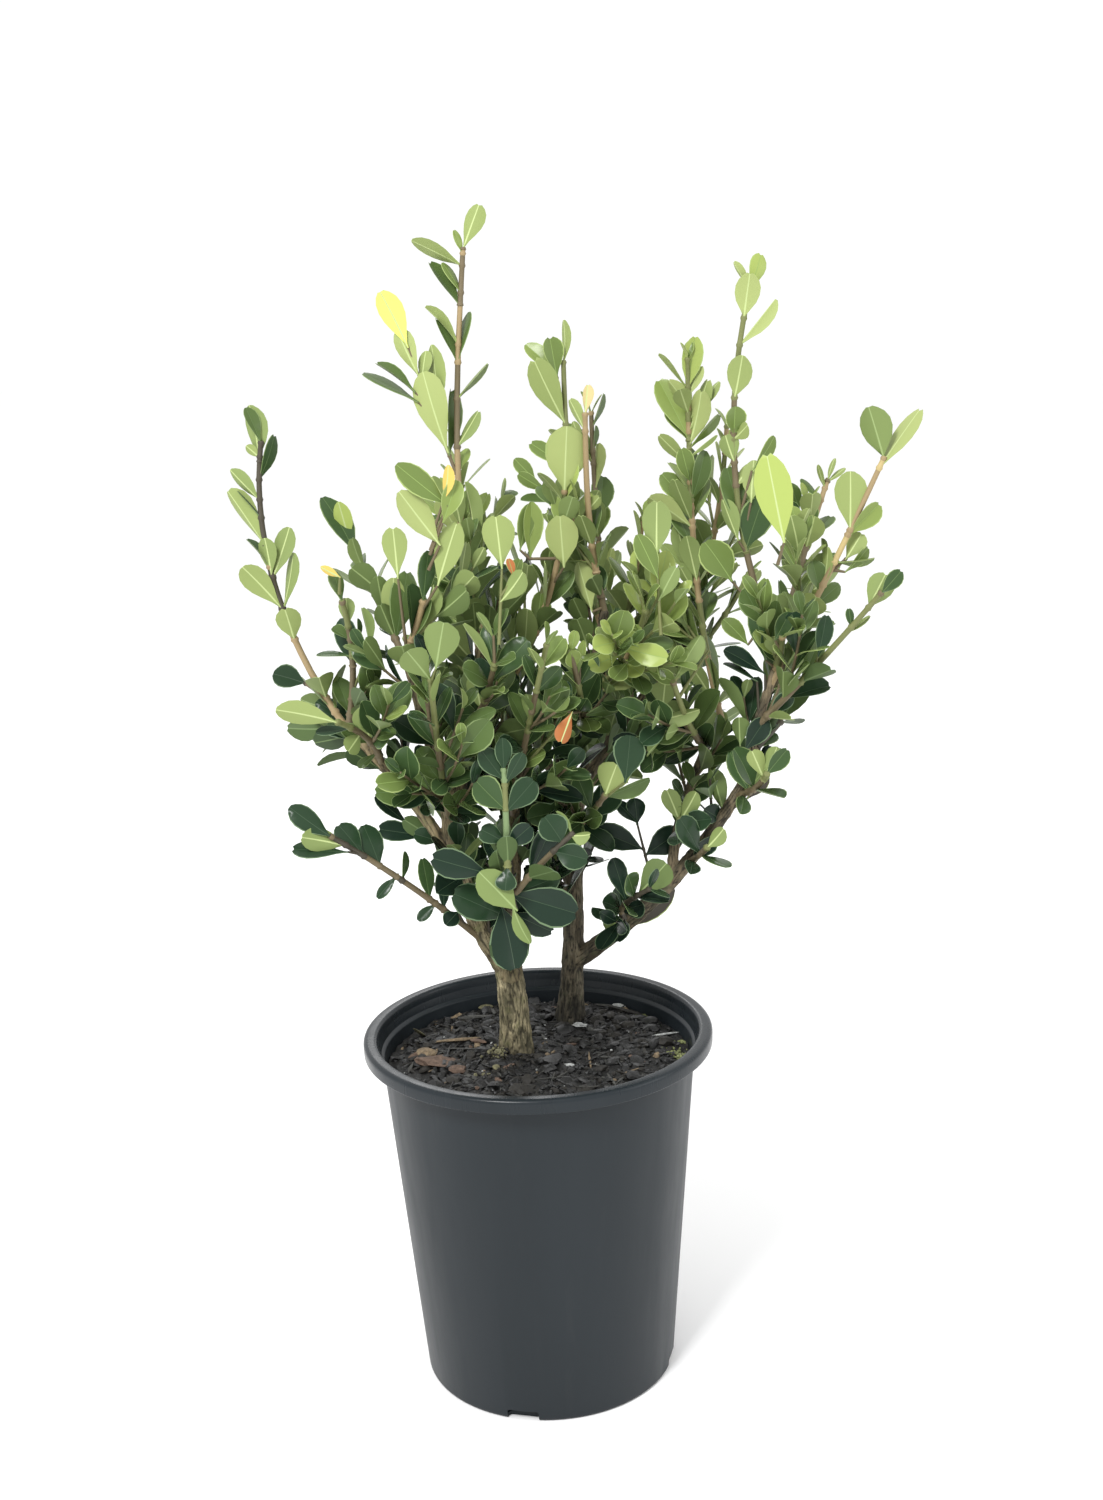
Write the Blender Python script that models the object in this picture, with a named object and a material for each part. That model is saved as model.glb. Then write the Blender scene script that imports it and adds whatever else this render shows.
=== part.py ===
"""A boxwood in a round nursery pot: two trunks, their boughs, and the leafy sprays that the boughs carry.

Metres, +Z up. The origin is the centre of the pot's flat underside. The plant is seen from -Y, with +X to
the right, and left, right, front and back in the names are meant from there.
"""

import math
import random

import bmesh
import bpy
from mathutils import Vector
from mathutils.bvhtree import BVHTree
from mathutils.kdtree import KDTree

MM = 0.001
GAP = 0.3 * MM  # clearance between neighbouring solids

# The pot: a one gallon nursery pot, blow moulded, with a rolled rim and drain holes in its bottom edge.
POT_HEIGHT = 170 * MM
RIM_RADIUS = 82.5 * MM
RIM_DROP = 6.6 * MM
MOUTH_RADIUS = 75.5 * MM
WALL_TOP_RADIUS = 74 * MM
BASE_RADIUS = 60.3 * MM
WALL = 1.5 * MM
FLOOR = 1.8 * MM
POT_SIDES = 36
DRAIN_HOLES = 4
DRAIN_WIDTH = 15 * MM
DRAIN_HEIGHT = 5 * MM
FIRST_DRAIN = -104  # degrees, from +X

# The potting mix, flat where the trunks stand and lower by the pot's wall.
SOIL_TOP = 157.7 * MM
SOIL_FLAT_RADIUS = 54 * MM
SOIL_SAG = 2.2 * MM
SOIL_SIDES = 24

# The limbs' rings, and how the trunks widen at the soil.
COURSE_STEPS = 24
RING_EVERY = 4
STEM_RING_EVERY = 6
TRUNK_SIDES = 12
BOUGH_SIDES = 7
FLARE_DECAY = 9 * MM

# The sprays' leaves, which are a little larger than life, as they are fewer. Angles are in degrees.
LEAF_LENGTH = 23.5 * MM
LEAF_WIDTH = 0.68  # of its length
LEAF_THICKNESS = 0.9 * MM
LEAF_ROOT = 0.3 * MM  # how far a leaf's root passes the middle of its twig
FIRST_LEAVES = 10 * MM
LAST_LEAVES = 1.6 * MM  # below the tip
LEAF_SPACING = 18.5 * MM
LEAF_TURN = 14  # either side of the right angle between one pair and the next
LEAF_LIFT = 56  # between a leaf and its twig, less near the tip
LEAF_LIFT_LOSS = 0.3
LEAF_ROLL = 28  # either way about its own middle
TIP_LEAF = 0.62  # the size of the last leaves
LEAF_CLEAR = 0.4 * MM

# The sprays' stems, and the side twigs that grow in the axils of some leaves.
STEM_SIDES = 3
STEM_FOOT = 2.3 * MM
STEM_TIP = 1.15 * MM
TWIG_STEPS = 2
TWIG_FOOT = 1.5 * MM
TWIG_TIP = 0.95 * MM
TWIG_SHORTEST = 18 * MM
TWIG_LONGEST = 42 * MM
TWIG_FIRST_LEAVES = 9 * MM
TWIG_LIFT = 30
TWIG_CHANCE = 0.29
TWIG_HIGHEST = 0.75  # how far up the stem side twigs grow
AXIL_ANGLE = 18  # the least between a side twig and the leaf below it

BARK_TAN = (0.24, 0.18, 0.11)
BARK_BROWN = (0.17, 0.12, 0.075)
GREEN_DARK = (0.022, 0.055, 0.022)
GREEN_MIDDLE = (0.07, 0.14, 0.04)
GREEN_LIGHT = (0.17, 0.26, 0.08)

# Each trunk: its foot across and away from the pot's middle in mm, then heading, rise, curl and sway in
# degrees, and length, flare, foot radius and tip radius in mm. A heading is counted from +X, a rise from
# level, and curl and sway are what rise and heading gain by the tip.
TRUNKS = {
    "trunk_left": ((-10, 3), (-127, 89, -10, 10), 44, 3.6, 7.6, 6.7),
    "trunk_right": ((16, 38), (-65, 80, 15, 40), 138, 3.4, 5.6, 3.2),
}

# Each bough: the limb that carries it and how far up that limb, then its angles, length and radii.
BOUGHS = {
    "bough_left": ("trunk_left", 0.93, (-148, 55, 35, 0), 94, 5.0, 3.7),
    "bough_middle": ("trunk_left", 0.97, (42, 79, 5, 85), 130, 3.8, 2.3),
    "bough_front": ("trunk_left", 0.90, (-83, 46, 10, -10), 79, 2.9, 1.8),
    "bough_low_left": ("bough_left", 0.62, (191, 67, -25, -35), 87, 3.1, 1.9),
    "bough_left_outer": ("bough_left", 0.97, (-131, 73, 5, -25), 74, 2.9, 1.9),
    "bough_left_inner": ("bough_left", 0.97, (7, 63, 5, 95), 74, 3.3, 2.0),
    "bough_right": ("trunk_right", 0.24, (-24, 35, 25, -5), 135, 4.6, 2.5),
    "bough_right_top": ("bough_right", 0.99, (-8, 80, -15, 35), 59, 2.4, 1.8),
    "bough_right_inner": ("bough_right", 0.52, (21, 86, -40, 20), 82, 2.6, 1.8),
    "bough_centre": ("trunk_right", 0.97, (-21, 69, 5, -30), 77, 3.0, 2.0),
    "bough_back": ("trunk_right", 0.62, (82, 40, 35, -35), 110, 2.9, 1.8),
    "bough_back_left": ("trunk_right", 0.75, (116, 53, 5, 30), 95, 2.7, 1.8),
    "bough_back_right": ("trunk_right", 0.80, (52, 43, 5, -45), 100, 2.6, 1.8),
}

# Each spray of leaves: the limb that its stem leaves and how far up it, then its angles, length and green.
SPRAYS = {
    "spray_left_tall": ("bough_left_inner", 1.00, (143, 79, 5, -130), 187, GREEN_LIGHT),
    "spray_left_centre": ("bough_left_outer", 1.00, (-20, 62, 30, -20), 74, GREEN_LIGHT),
    "spray_left_small": ("bough_low_left", 0.97, (-48, 70, -5, -85), 85, GREEN_MIDDLE),
    "spray_left_upper": ("bough_left_outer", 0.90, (115, 39, 10, 10), 97, GREEN_MIDDLE),
    "spray_far_left": ("bough_low_left", 1.00, (146, 48, 55, 20), 140, GREEN_MIDDLE),
    "spray_low_left": ("bough_left", 0.16, (-142, 46, -10, -15), 118, GREEN_DARK),
    "spray_left_low_front": ("bough_low_left", 0.72, (-91, 46, -30, -65), 68, GREEN_MIDDLE),
    "spray_left_low_back": ("bough_low_left", 0.85, (117, 29, -20, 15), 72, GREEN_DARK),
    "spray_left_dark": ("bough_low_left", 0.20, (125, 1, 20, 5), 47, GREEN_DARK),
    "spray_front": ("bough_front", 1.00, (-86, 72, 25, 0), 61, GREEN_DARK),
    "spray_front_right": ("bough_front", 0.80, (-54, 51, -10, 55), 53, GREEN_DARK),
    "spray_front_low": ("bough_front", 0.45, (-125, 8, -25, 0), 30, GREEN_DARK),
    "spray_low_centre": ("bough_left", 0.10, (-118, 40, 15, 0), 52, GREEN_DARK),
    "spray_between": ("trunk_right", 0.42, (-106, 51, -20, 0), 56, GREEN_DARK),
    "spray_left_front": ("bough_left", 0.90, (-93, 41, 35, 0), 103, GREEN_MIDDLE),
    "spray_left_inner_front": ("bough_left_inner", 0.50, (-83, 27, 40, 25), 65, GREEN_MIDDLE),
    "spray_middle": ("bough_middle", 1.00, (-4, 54, 40, -25), 119, GREEN_LIGHT),
    "spray_middle_front": ("bough_middle", 0.55, (-85, 42, 20, 20), 119, GREEN_MIDDLE),
    "spray_centre_top": ("bough_centre", 0.90, (129, 64, 20, -50), 137, GREEN_LIGHT),
    "spray_centre": ("bough_centre", 1.00, (-154, 77, 10, 95), 104, GREEN_LIGHT),
    "spray_right_inner": ("bough_right_inner", 1.00, (137, 73, 20, -55), 169, GREEN_LIGHT),
    "spray_right_tall": ("bough_right_top", 1.00, (148, 67, 40, 55), 174, GREEN_LIGHT),
    "spray_far_right": ("bough_right_top", 0.75, (-4, 61, 5, -5), 123, GREEN_LIGHT),
    "spray_right_upper": ("bough_right_top", 0.95, (64, 53, 5, -20), 99, GREEN_LIGHT),
    "spray_right_outer": ("bough_right_top", 0.45, (-37, 44, 5, 0), 93, GREEN_MIDDLE),
    "spray_right_dark": ("bough_right_top", 0.20, (51, 22, -5, 0), 77, GREEN_DARK),
    "spray_right_front": ("bough_right", 0.93, (-68, 17, 35, -25), 71, GREEN_MIDDLE),
    "spray_inner_front": ("bough_right_inner", 0.30, (-91, 23, 30, 0), 66, GREEN_MIDDLE),
    "spray_right_low": ("bough_right", 0.28, (-118, 36, -5, 80), 53, GREEN_DARK),
    "spray_right_mid": ("bough_right", 0.62, (-76, 23, 20, -5), 66, GREEN_MIDDLE),
    "spray_centre_right": ("bough_centre", 0.50, (-67, 13, 60, -10), 122, GREEN_LIGHT),
    "spray_right_bright": ("bough_right_top", 0.90, (-85, 33, 45, -35), 99, GREEN_LIGHT),
    "spray_centre_low": ("trunk_right", 0.72, (-81, 22, 15, 10), 78, GREEN_MIDDLE),
    "spray_right_centre": ("bough_right_inner", 0.80, (-106, 20, 45, -10), 103, GREEN_MIDDLE),
    "spray_centre_front": ("bough_centre", 0.25, (-84, 12, 40, -20), 94, GREEN_MIDDLE),
    "spray_back": ("bough_back", 1.00, (95, 70, 20, 10), 120, GREEN_LIGHT),
    "spray_back_left": ("bough_back_left", 1.00, (125, 58, 25, -30), 105, GREEN_LIGHT),
    "spray_back_right": ("bough_back_right", 1.00, (40, 60, 25, 0), 110, GREEN_LIGHT),
    "spray_back_low": ("bough_back", 0.50, (80, 22, 30, 0), 72, GREEN_MIDDLE),
    "spray_back_outer_left": ("bough_back_left", 0.50, (155, 30, 30, 0), 85, GREEN_MIDDLE),
    "spray_back_outer_right": ("bough_back_right", 0.60, (8, 32, 30, 0), 88, GREEN_MIDDLE),
    "spray_back_inner": ("bough_back", 0.80, (-40, 62, 20, 0), 95, GREEN_LIGHT),
    "spray_back_middle": ("bough_back_left", 0.80, (20, 62, 20, 0), 95, GREEN_LIGHT),
}


def clear_scene():
    for old in list(bpy.data.objects):
        bpy.data.objects.remove(old, do_unlink=True)


def coloured(obj, colour, roughness):
    """Give an object its own Principled material."""
    material = bpy.data.materials.new(obj.name)
    material.use_nodes = True
    shader = material.node_tree.nodes["Principled BSDF"]
    shader.inputs["Base Color"].default_value = (*colour, 1)
    shader.inputs["Roughness"].default_value = roughness
    shader.inputs["Metallic"].default_value = 0
    obj.data.materials.append(material)


def added(name, bm):
    """Make an object of a bmesh, with its faces pointing out."""
    bmesh.ops.recalc_face_normals(bm, faces=bm.faces)
    mesh = bpy.data.meshes.new(name)
    bm.to_mesh(mesh)
    bm.free()
    obj = bpy.data.objects.new(name, mesh)
    bpy.context.scene.collection.objects.link(obj)
    return obj


def smooth(obj, degrees=35):
    obj.data.shade_smooth()
    obj.data.set_sharp_from_angle(angle=math.radians(degrees))


def turned(profile, sides):
    """Spin a profile of (radius, height) round Z. Its first and last points lie on the axis."""
    bm = bmesh.new()
    line = [bm.verts.new((radius, 0, height)) for radius, height in profile]
    edges = [bm.edges.new(pair) for pair in zip(line, line[1:])]
    bmesh.ops.spin(
        bm, geom=line + edges, axis=(0, 0, 1), cent=(0, 0, 0), angle=2 * math.pi, steps=sides
    )
    bmesh.ops.remove_doubles(bm, verts=bm.verts, dist=MM / 100)
    return bm


def make_pot():
    """The wall leans out from a flat floor to a rolled rim, whose lip turns down and is open below."""
    height, wall_top = POT_HEIGHT, POT_HEIGHT - 8.5 * MM
    lip_edge = height - RIM_DROP
    profile = [
        (0, 0),
        (BASE_RADIUS - 2 * MM, 0),
        (BASE_RADIUS - 0.5 * MM, 0.6 * MM),
        (BASE_RADIUS, 2.2 * MM),
        (WALL_TOP_RADIUS, wall_top),
        (WALL_TOP_RADIUS + 1.9 * MM, height - 2.2 * MM),
        (RIM_RADIUS - 1.9 * MM, height - 2.4 * MM),
        (RIM_RADIUS - 1.7 * MM, lip_edge),
        (RIM_RADIUS - 0.5 * MM, lip_edge),
        (RIM_RADIUS, lip_edge + 1.2 * MM),
        (RIM_RADIUS, height - 2.4 * MM),
        (RIM_RADIUS - 0.6 * MM, height - 0.8 * MM),
        (RIM_RADIUS - 2.1 * MM, height),
        (MOUTH_RADIUS + 1.3 * MM, height - 0.1 * MM),
        (MOUTH_RADIUS + 0.3 * MM, height - 0.9 * MM),
        (MOUTH_RADIUS - 0.4 * MM, height - 3.4 * MM),
        (MOUTH_RADIUS - 0.9 * MM, wall_top + 0.6 * MM),
        (WALL_TOP_RADIUS - WALL, wall_top - 0.6 * MM),
        (BASE_RADIUS - WALL, FLOOR + 1.2 * MM),
        (BASE_RADIUS - WALL - 1.2 * MM, FLOOR),
        (0, FLOOR),
    ]
    pot = added("pot", turned(profile, POT_SIDES))
    smooth(pot)
    coloured(pot, (0.062, 0.073, 0.080), 0.42)
    for i in range(DRAIN_HOLES):
        drain = cutter(f"drain_{i}")
        angle = math.radians(FIRST_DRAIN + 360 / DRAIN_HOLES * i)
        drain.location = (BASE_RADIUS * math.cos(angle), BASE_RADIUS * math.sin(angle), 0)
        drain.rotation_euler = (0, 0, angle)
        cut = pot.modifiers.new("drain", "BOOLEAN")
        cut.operation = "DIFFERENCE"
        cut.object = drain
    return pot


def cutter(name):
    """A box that stands for one drain hole, from inside the wall to outside it."""
    bm = bmesh.new()
    bmesh.ops.create_cube(bm, size=1)
    for corner in bm.verts:
        corner.co.x *= 8 * MM
        corner.co.y *= DRAIN_WIDTH
        corner.co.z *= 2 * DRAIN_HEIGHT
    box = added(name, bm)
    box.hide_render = True
    box.display_type = "WIRE"
    return box


def make_soil():
    """The potting mix fills the pot, with a gap to the wall, and sags unevenly towards the wall."""
    rng = random.Random(4)
    slope = (WALL_TOP_RADIUS - BASE_RADIUS) / (POT_HEIGHT - 8.5 * MM)
    side = WALL + GAP / math.cos(math.pi / POT_SIDES) + 0.2 * MM
    bottom = FLOOR + GAP
    foot_radius = BASE_RADIUS - side - 1.4 * MM
    top_radius = BASE_RADIUS + slope * (SOIL_TOP - SOIL_SAG) - side
    profile = [
        (0, bottom),
        (foot_radius, bottom),
        (foot_radius + 1.4 * MM, bottom + 2.4 * MM),
        (top_radius - 0.5 * MM, SOIL_TOP - SOIL_SAG - 1.4 * MM),
        (SOIL_FLAT_RADIUS + 12 * MM, SOIL_TOP - SOIL_SAG / 2),
        (SOIL_FLAT_RADIUS, SOIL_TOP),
        (0, SOIL_TOP),
    ]
    bm = turned(profile, SOIL_SIDES)
    for vertex in bm.verts:
        radius = vertex.co.xy.length
        if vertex.co.z > SOIL_TOP / 2 and radius > SOIL_FLAT_RADIUS + MM:
            vertex.co.z += rng.uniform(-0.6, 0.6) * MM
    soil = added("soil", bm)
    coloured(soil, (0.028, 0.020, 0.014), 0.95)
    return soil


def toward(heading, rise):
    """The unit vector at a heading from +X and a rise from level, in degrees."""
    turn, lift = math.radians(heading), math.radians(rise)
    return Vector(
        (math.cos(lift) * math.cos(turn), math.cos(lift) * math.sin(turn), math.sin(lift))
    )


def course(foot, angles, length, steps=COURSE_STEPS):
    """The points of a limb from its foot, whose heading and rise drift evenly on the way to its tip."""
    heading, rise, curl, sway = angles
    points = [Vector(foot)]
    for i in range(steps):
        t = (i + 0.5) / steps
        points.append(points[-1] + toward(heading + sway * t, rise + curl * t) * (length / steps))
    return points


def place(points, share):
    """The point and direction at a share of a course's length."""
    reach = min(share, 0.9999) * (len(points) - 1)
    i = int(reach)
    step = points[i + 1] - points[i]
    return points[i] + step * (reach - i), step.normalized()


def rings(points):
    """A steady pair of side vectors at each point, carried along so that a tube doesn't twist."""
    side = Vector((1, 0, 0))
    found = []
    for i in range(len(points)):
        along = (points[min(i + 1, len(points) - 1)] - points[max(i - 1, 0)]).normalized()
        side = (side - along * side.dot(along)).normalized()
        found.append((side.copy(), along.cross(side)))
    return found


def tube(points, radii, sides):
    """A closed tube through points, with a flat cap at each end."""
    bm = bmesh.new()
    loops = []
    for point, radius, (u, v) in zip(points, radii, rings(points)):
        turns = [2 * math.pi * k / sides for k in range(sides)]
        loops.append(
            [bm.verts.new(point + (u * math.cos(a) + v * math.sin(a)) * radius) for a in turns]
        )
    for low, high in zip(loops, loops[1:]):
        for k in range(sides):
            bm.faces.new((low[k - 1], low[k], high[k], high[k - 1]))
    bm.faces.new(loops[0][::-1])
    bm.faces.new(loops[-1])
    return bm


class Limb:
    """A trunk, a bough or a spray's stem: its course, its radius along it and the sides of its section."""

    def __init__(self, foot, angles, length, foot_radius, tip_radius, sides, flare=0):
        self.points = course(foot, angles, length * MM)
        self.length = length * MM
        self.foot_radius, self.tip_radius = foot_radius * MM, tip_radius * MM
        self.flare = flare * MM
        self.sides = sides

    def radius(self, share):
        taper = self.foot_radius + (self.tip_radius - self.foot_radius) * share
        return taper + self.flare * math.exp(-share * self.length / FLARE_DECAY)

    def tube(self, grown=0):
        """The limb's solid, or the room it needs when it is grown by a clearance."""
        count = len(self.points) - 1
        every = STEM_RING_EVERY if self.sides == STEM_SIDES else RING_EVERY
        picked = list(range(0, count + 1, every))
        if self.flare:
            picked = sorted(set(picked) | {1, 2, 4})
        points = [self.points[i] for i in picked]
        radii = [self.radius(i / count) + grown for i in picked]
        end = place(self.points, 1)[1]
        points.append(points[-1] + end * (0.3 * self.tip_radius + grown))
        radii.append(0.7 * self.tip_radius + grown)
        return tube(points, radii, self.sides)


def settled(obj):
    """Keep what an object's modifiers make of it, as one body: the largest, with loose scraps dropped."""
    graph = bpy.context.evaluated_depsgraph_get()
    made = bpy.data.meshes.new_from_object(obj.evaluated_get(graph))
    obj.modifiers.clear()
    bm = bmesh.new()
    bm.from_mesh(made)
    bmesh.ops.remove_doubles(bm, verts=bm.verts, dist=MM / 500)
    bodies = []
    seen = set()
    for face in bm.faces:
        if face in seen:
            continue
        body, rim_of_body = set(), [face]
        while rim_of_body:
            reached = rim_of_body.pop()
            if reached not in body:
                body.add(reached)
                whole = [edge for edge in reached.edges if len(edge.link_faces) == 2]
                rim_of_body += [f for edge in whole for f in edge.link_faces if f not in body]
        seen |= body
        bodies.append(body)
    largest = max(bodies, key=lambda body: sum(face.calc_area() for face in body))
    scraps = [face for face in bm.faces if face not in largest]
    bmesh.ops.delete(bm, geom=scraps, context="FACES")
    bm.to_mesh(obj.data)
    bm.free()
    bpy.data.meshes.remove(made)


def seat(obj, carriers):
    """Cut an object's foot to the limbs that it leaves or passes closely, one clearance off each."""
    for carrier in carriers:
        room = added("room", carrier.tube(GAP))
        cut = obj.modifiers.new("seat", "BOOLEAN")
        cut.operation = "DIFFERENCE"
        cut.object = room
        settled(obj)
        bpy.data.objects.remove(room, do_unlink=True)


def near(limb, others):
    """The limbs whose surface the foot of this one might touch."""
    reach = limb.points[: len(limb.points) * 2 // 3]
    close = []
    for other in others:
        touch = limb.foot_radius + max(other.foot_radius, other.tip_radius) + other.flare + MM
        if any((p - q).length < touch for p in reach for q in other.points):
            close.append(other)
    return close


def make_limbs():
    """The trunks stand on the soil, and each bough is cut to the limb that carries it."""
    limbs = {}
    for name, (foot, angles, length, flare, foot_radius, tip_radius) in TRUNKS.items():
        at = (foot[0] * MM, foot[1] * MM, SOIL_TOP + GAP)
        limb = Limb(at, angles, length, foot_radius, tip_radius, TRUNK_SIDES, flare)
        bm = limb.tube()
        lowest = sorted(bm.verts, key=lambda vertex: vertex.co.z)[:TRUNK_SIDES]
        for vertex in lowest:
            vertex.co.z = SOIL_TOP + GAP
        obj = added(name, bm)
        limbs[name] = limb
        smooth(obj)
        coloured(obj, BARK_TAN, 0.85)
    for name, (carrier, share, angles, length, foot_radius, tip_radius) in BOUGHS.items():
        at = place(limbs[carrier].points, share)[0]
        limb = Limb(at, angles, length, foot_radius, tip_radius, BOUGH_SIDES)
        obj = added(name, limb.tube())
        seat(obj, near(limb, limbs.values()))
        limbs[name] = limb
        smooth(obj)
        coloured(obj, BARK_BROWN, 0.8)
    return limbs


def leaf(root, direction, face, length):
    """A leaf's corners and faces: widest past the middle, blunt at the tip, and thickest in the middle."""
    across = face.cross(direction)
    wide = LEAF_WIDTH * length
    outline = ((0, 0), (0.52, -0.5), (0.97, -0.24), (0.97, 0.24), (0.52, 0.5))
    start = root - direction * LEAF_ROOT
    corners = [start + direction * (length * x) + across * (wide * y) for x, y in outline]
    corners.append(start + direction * (length * 0.5) + face * LEAF_THICKNESS)
    faces = [(i, (i + 1) % 5, 5) for i in range(5)] + [(4, 3, 2), (4, 2, 1), (4, 1, 0)]
    return corners, faces


class Space:
    """The room that has been taken, and which spray's own space a point lies in."""

    def __init__(self, limbs, stems):
        self.taken = []
        for limb in limbs.values():
            self.take(None, *self.shape(limb.tube(LEAF_CLEAR)))
        for name, stem in stems.items():
            self.take((name, "stem"), *self.shape(stem.tube(LEAF_CLEAR)))
        self.owners = [name for name, stem in stems.items() for _ in stem.points]
        self.tree = KDTree(len(self.owners))
        spots = [point for stem in stems.values() for point in stem.points]
        for i, point in enumerate(spots):
            self.tree.insert(point, i)
        self.tree.balance()

    @staticmethod
    def shape(bm):
        bm.verts.index_update()
        corners = [vertex.co.copy() for vertex in bm.verts]
        faces = [[vertex.index for vertex in face.verts] for face in bm.faces]
        bm.free()
        return corners, faces

    @staticmethod
    def ball(corners):
        middle = sum(corners, Vector()) / len(corners)
        return middle, max((corner - middle).length for corner in corners)

    def take(self, key, corners, faces):
        self.taken.append((key, *self.ball(corners), BVHTree.FromPolygons(corners, faces)))

    def owns(self, name, point):
        return self.owners[self.tree.find(point)[1]] == name

    def is_free(self, corners, faces, joined):
        """Whether a shape touches nothing but the pieces that it is joined to."""
        middle, reach = self.ball(corners)
        tree = BVHTree.FromPolygons(corners, faces)
        return not any(
            (centre - middle).length < reach + extent and key not in joined and tree.overlap(solid)
            for key, centre, extent, solid in self.taken
        )


def clear_of(corners, by):
    """A shape's corners pushed out from its middle, so that a test leaves some clearance."""
    middle = sum(corners, Vector()) / len(corners)
    return [corner + (corner - middle).normalized() * by for corner in corners]


def leaf_pairs(rng, points, length, first):
    """Opposite leaves along a twig, each pair turned a right angle on from the last, closing at the tip."""
    turn = rng.uniform(0, 180)
    span = length - first - LAST_LEAVES
    count = max(1, round(span / LEAF_SPACING))
    for i in range(count + 1):
        share = (first + span * i / count) / length
        at, along = place(points, share)
        around = turn + 90 * i + rng.uniform(-LEAF_TURN, LEAF_TURN)
        swell = 1 - (1 - TIP_LEAF) * max(0, (share - 0.6) / 0.4) ** 1.5
        lift = LEAF_LIFT * (1 - LEAF_LIFT_LOSS * share) + rng.uniform(-9, 9)
        size = LEAF_LENGTH * swell * rng.uniform(0.85, 1.12)
        for half in (0, 180):
            yield i, share, at, along, around + half, lift + rng.uniform(-6, 6), size


def leaf_set(at, along, around, lift, roll):
    """The direction and the upper face of a leaf that leaves its twig at a lift, rolled about its middle."""
    side = along.orthogonal().normalized()
    cross = along.cross(side)
    out = side * math.cos(math.radians(around)) + cross * math.sin(math.radians(around))
    direction = along * math.cos(math.radians(lift)) + out * math.sin(math.radians(lift))
    face = (along - direction * along.dot(direction)).normalized()
    tilt = math.radians(roll)
    return direction, face * math.cos(tilt) + direction.cross(face) * math.sin(tilt)


def dress(rng, name, twig, points, length, first, space, shapes):
    """Set the leaves of one twig, and return the axils that a side twig could grow from."""
    axils = []
    for i, share, at, along, around, lift, size in leaf_pairs(rng, points, length, first):
        roll = rng.uniform(-LEAF_ROLL, LEAF_ROLL)
        for try_lift in (lift, lift - 16, lift + 18):
            direction, face = leaf_set(at, along, around, try_lift, roll)
            corners, faces = leaf(at, direction, face, size)
            if not space.owns(name, corners[2]) or not space.owns(name, corners[5]):
                continue
            if space.is_free(clear_of(corners, LEAF_CLEAR), faces, {(name, twig), (name, twig, i)}):
                space.take((name, twig, i), corners, faces)
                shapes.append((corners, faces))
                break
        axils.append((i, share, at, along, around, direction))
    return axils


def side_twigs(rng, name, stem, axils, space, shapes):
    """Short twigs from the axils of some leaf pairs, each with leaves of its own."""
    for number, (i, share, at, along, around, below) in enumerate(axils):
        if share > TWIG_HIGHEST or rng.random() > TWIG_CHANCE:
            continue
        lift = TWIG_LIFT + rng.uniform(-8, 8)
        direction = leaf_set(at, along, around + rng.uniform(-20, 20), lift, 0)[0]
        if direction.angle(below) < math.radians(AXIL_ANGLE):
            continue
        heading = math.degrees(math.atan2(direction.y, direction.x))
        rise = math.degrees(math.asin(direction.z))
        length = stem.length * (1 - share) * rng.uniform(0.45, 0.7)
        length = min(TWIG_LONGEST, max(TWIG_SHORTEST, length))
        points = course(at, (heading, rise, rng.uniform(5, 25), 0), length, TWIG_STEPS)
        radii = [
            TWIG_FOOT + (TWIG_TIP - TWIG_FOOT) * k / TWIG_STEPS for k in range(TWIG_STEPS + 1)
        ]
        corners, faces = Space.shape(tube(points, radii, STEM_SIDES))
        if not space.owns(name, points[-1]):
            continue
        joined = {(name, "stem"), (name, "stem", i)}
        if space.is_free(clear_of(corners, LEAF_CLEAR), faces, joined):
            space.take((name, number), corners, faces)
            shapes.append((corners, faces))
            dress(rng, name, number, points, length, TWIG_FIRST_LEAVES, space, shapes)


def fused(obj, shapes):
    """Join a stem, its twigs and its leaves in one union."""
    parts = bpy.data.collections.new("parts")
    bpy.context.scene.collection.children.link(parts)
    for corners, faces in shapes:
        mesh = bpy.data.meshes.new("piece")
        mesh.from_pydata([tuple(corner) for corner in corners], [], faces)
        piece = bpy.data.objects.new("piece", mesh)
        parts.objects.link(piece)
    join = obj.modifiers.new("join", "BOOLEAN")
    join.operation = "UNION"
    join.solver = "MANIFOLD"
    join.operand_type = "COLLECTION"
    join.collection = parts
    settled(obj)
    for piece in list(parts.objects):
        bpy.data.objects.remove(piece, do_unlink=True)
    bpy.data.collections.remove(parts)


def make_sprays(limbs):
    """Grow the sprays, each in the space that is nearer to its stem than to any other's."""
    stems = {}
    for name, (carrier, share, angles, length, colour) in SPRAYS.items():
        at = place(limbs[carrier].points, share)[0]
        stems[name] = Limb(at, angles, length, STEM_FOOT / MM, STEM_TIP / MM, STEM_SIDES)
    space = Space(limbs, stems)
    dressed = {}
    for number, (name, stem) in enumerate(stems.items()):
        rng = random.Random(100 + number)
        shapes = []
        axils = dress(rng, name, "stem", stem.points, stem.length, FIRST_LEAVES, space, shapes)
        dressed[name] = (rng, axils, shapes)
    for name, (rng, axils, shapes) in dressed.items():
        side_twigs(rng, name, stems[name], axils, space, shapes)
    placed = dict(limbs)
    for name, (rng, axils, shapes) in dressed.items():
        obj = added(name, stems[name].tube())
        seat(obj, near(stems[name], placed.values()))
        fused(obj, shapes)
        placed[name] = stems[name]
        coloured(obj, SPRAYS[name][4], 0.45)


def main():
    clear_scene()
    make_pot()
    make_soil()
    limbs = make_limbs()
    make_sprays(limbs)


main()
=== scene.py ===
import math
import random

import bpy
import numpy as np
from mathutils import Matrix, Vector, noise
from mathutils.bvhtree import BVHTree
from mathutils.kdtree import KDTree


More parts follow.
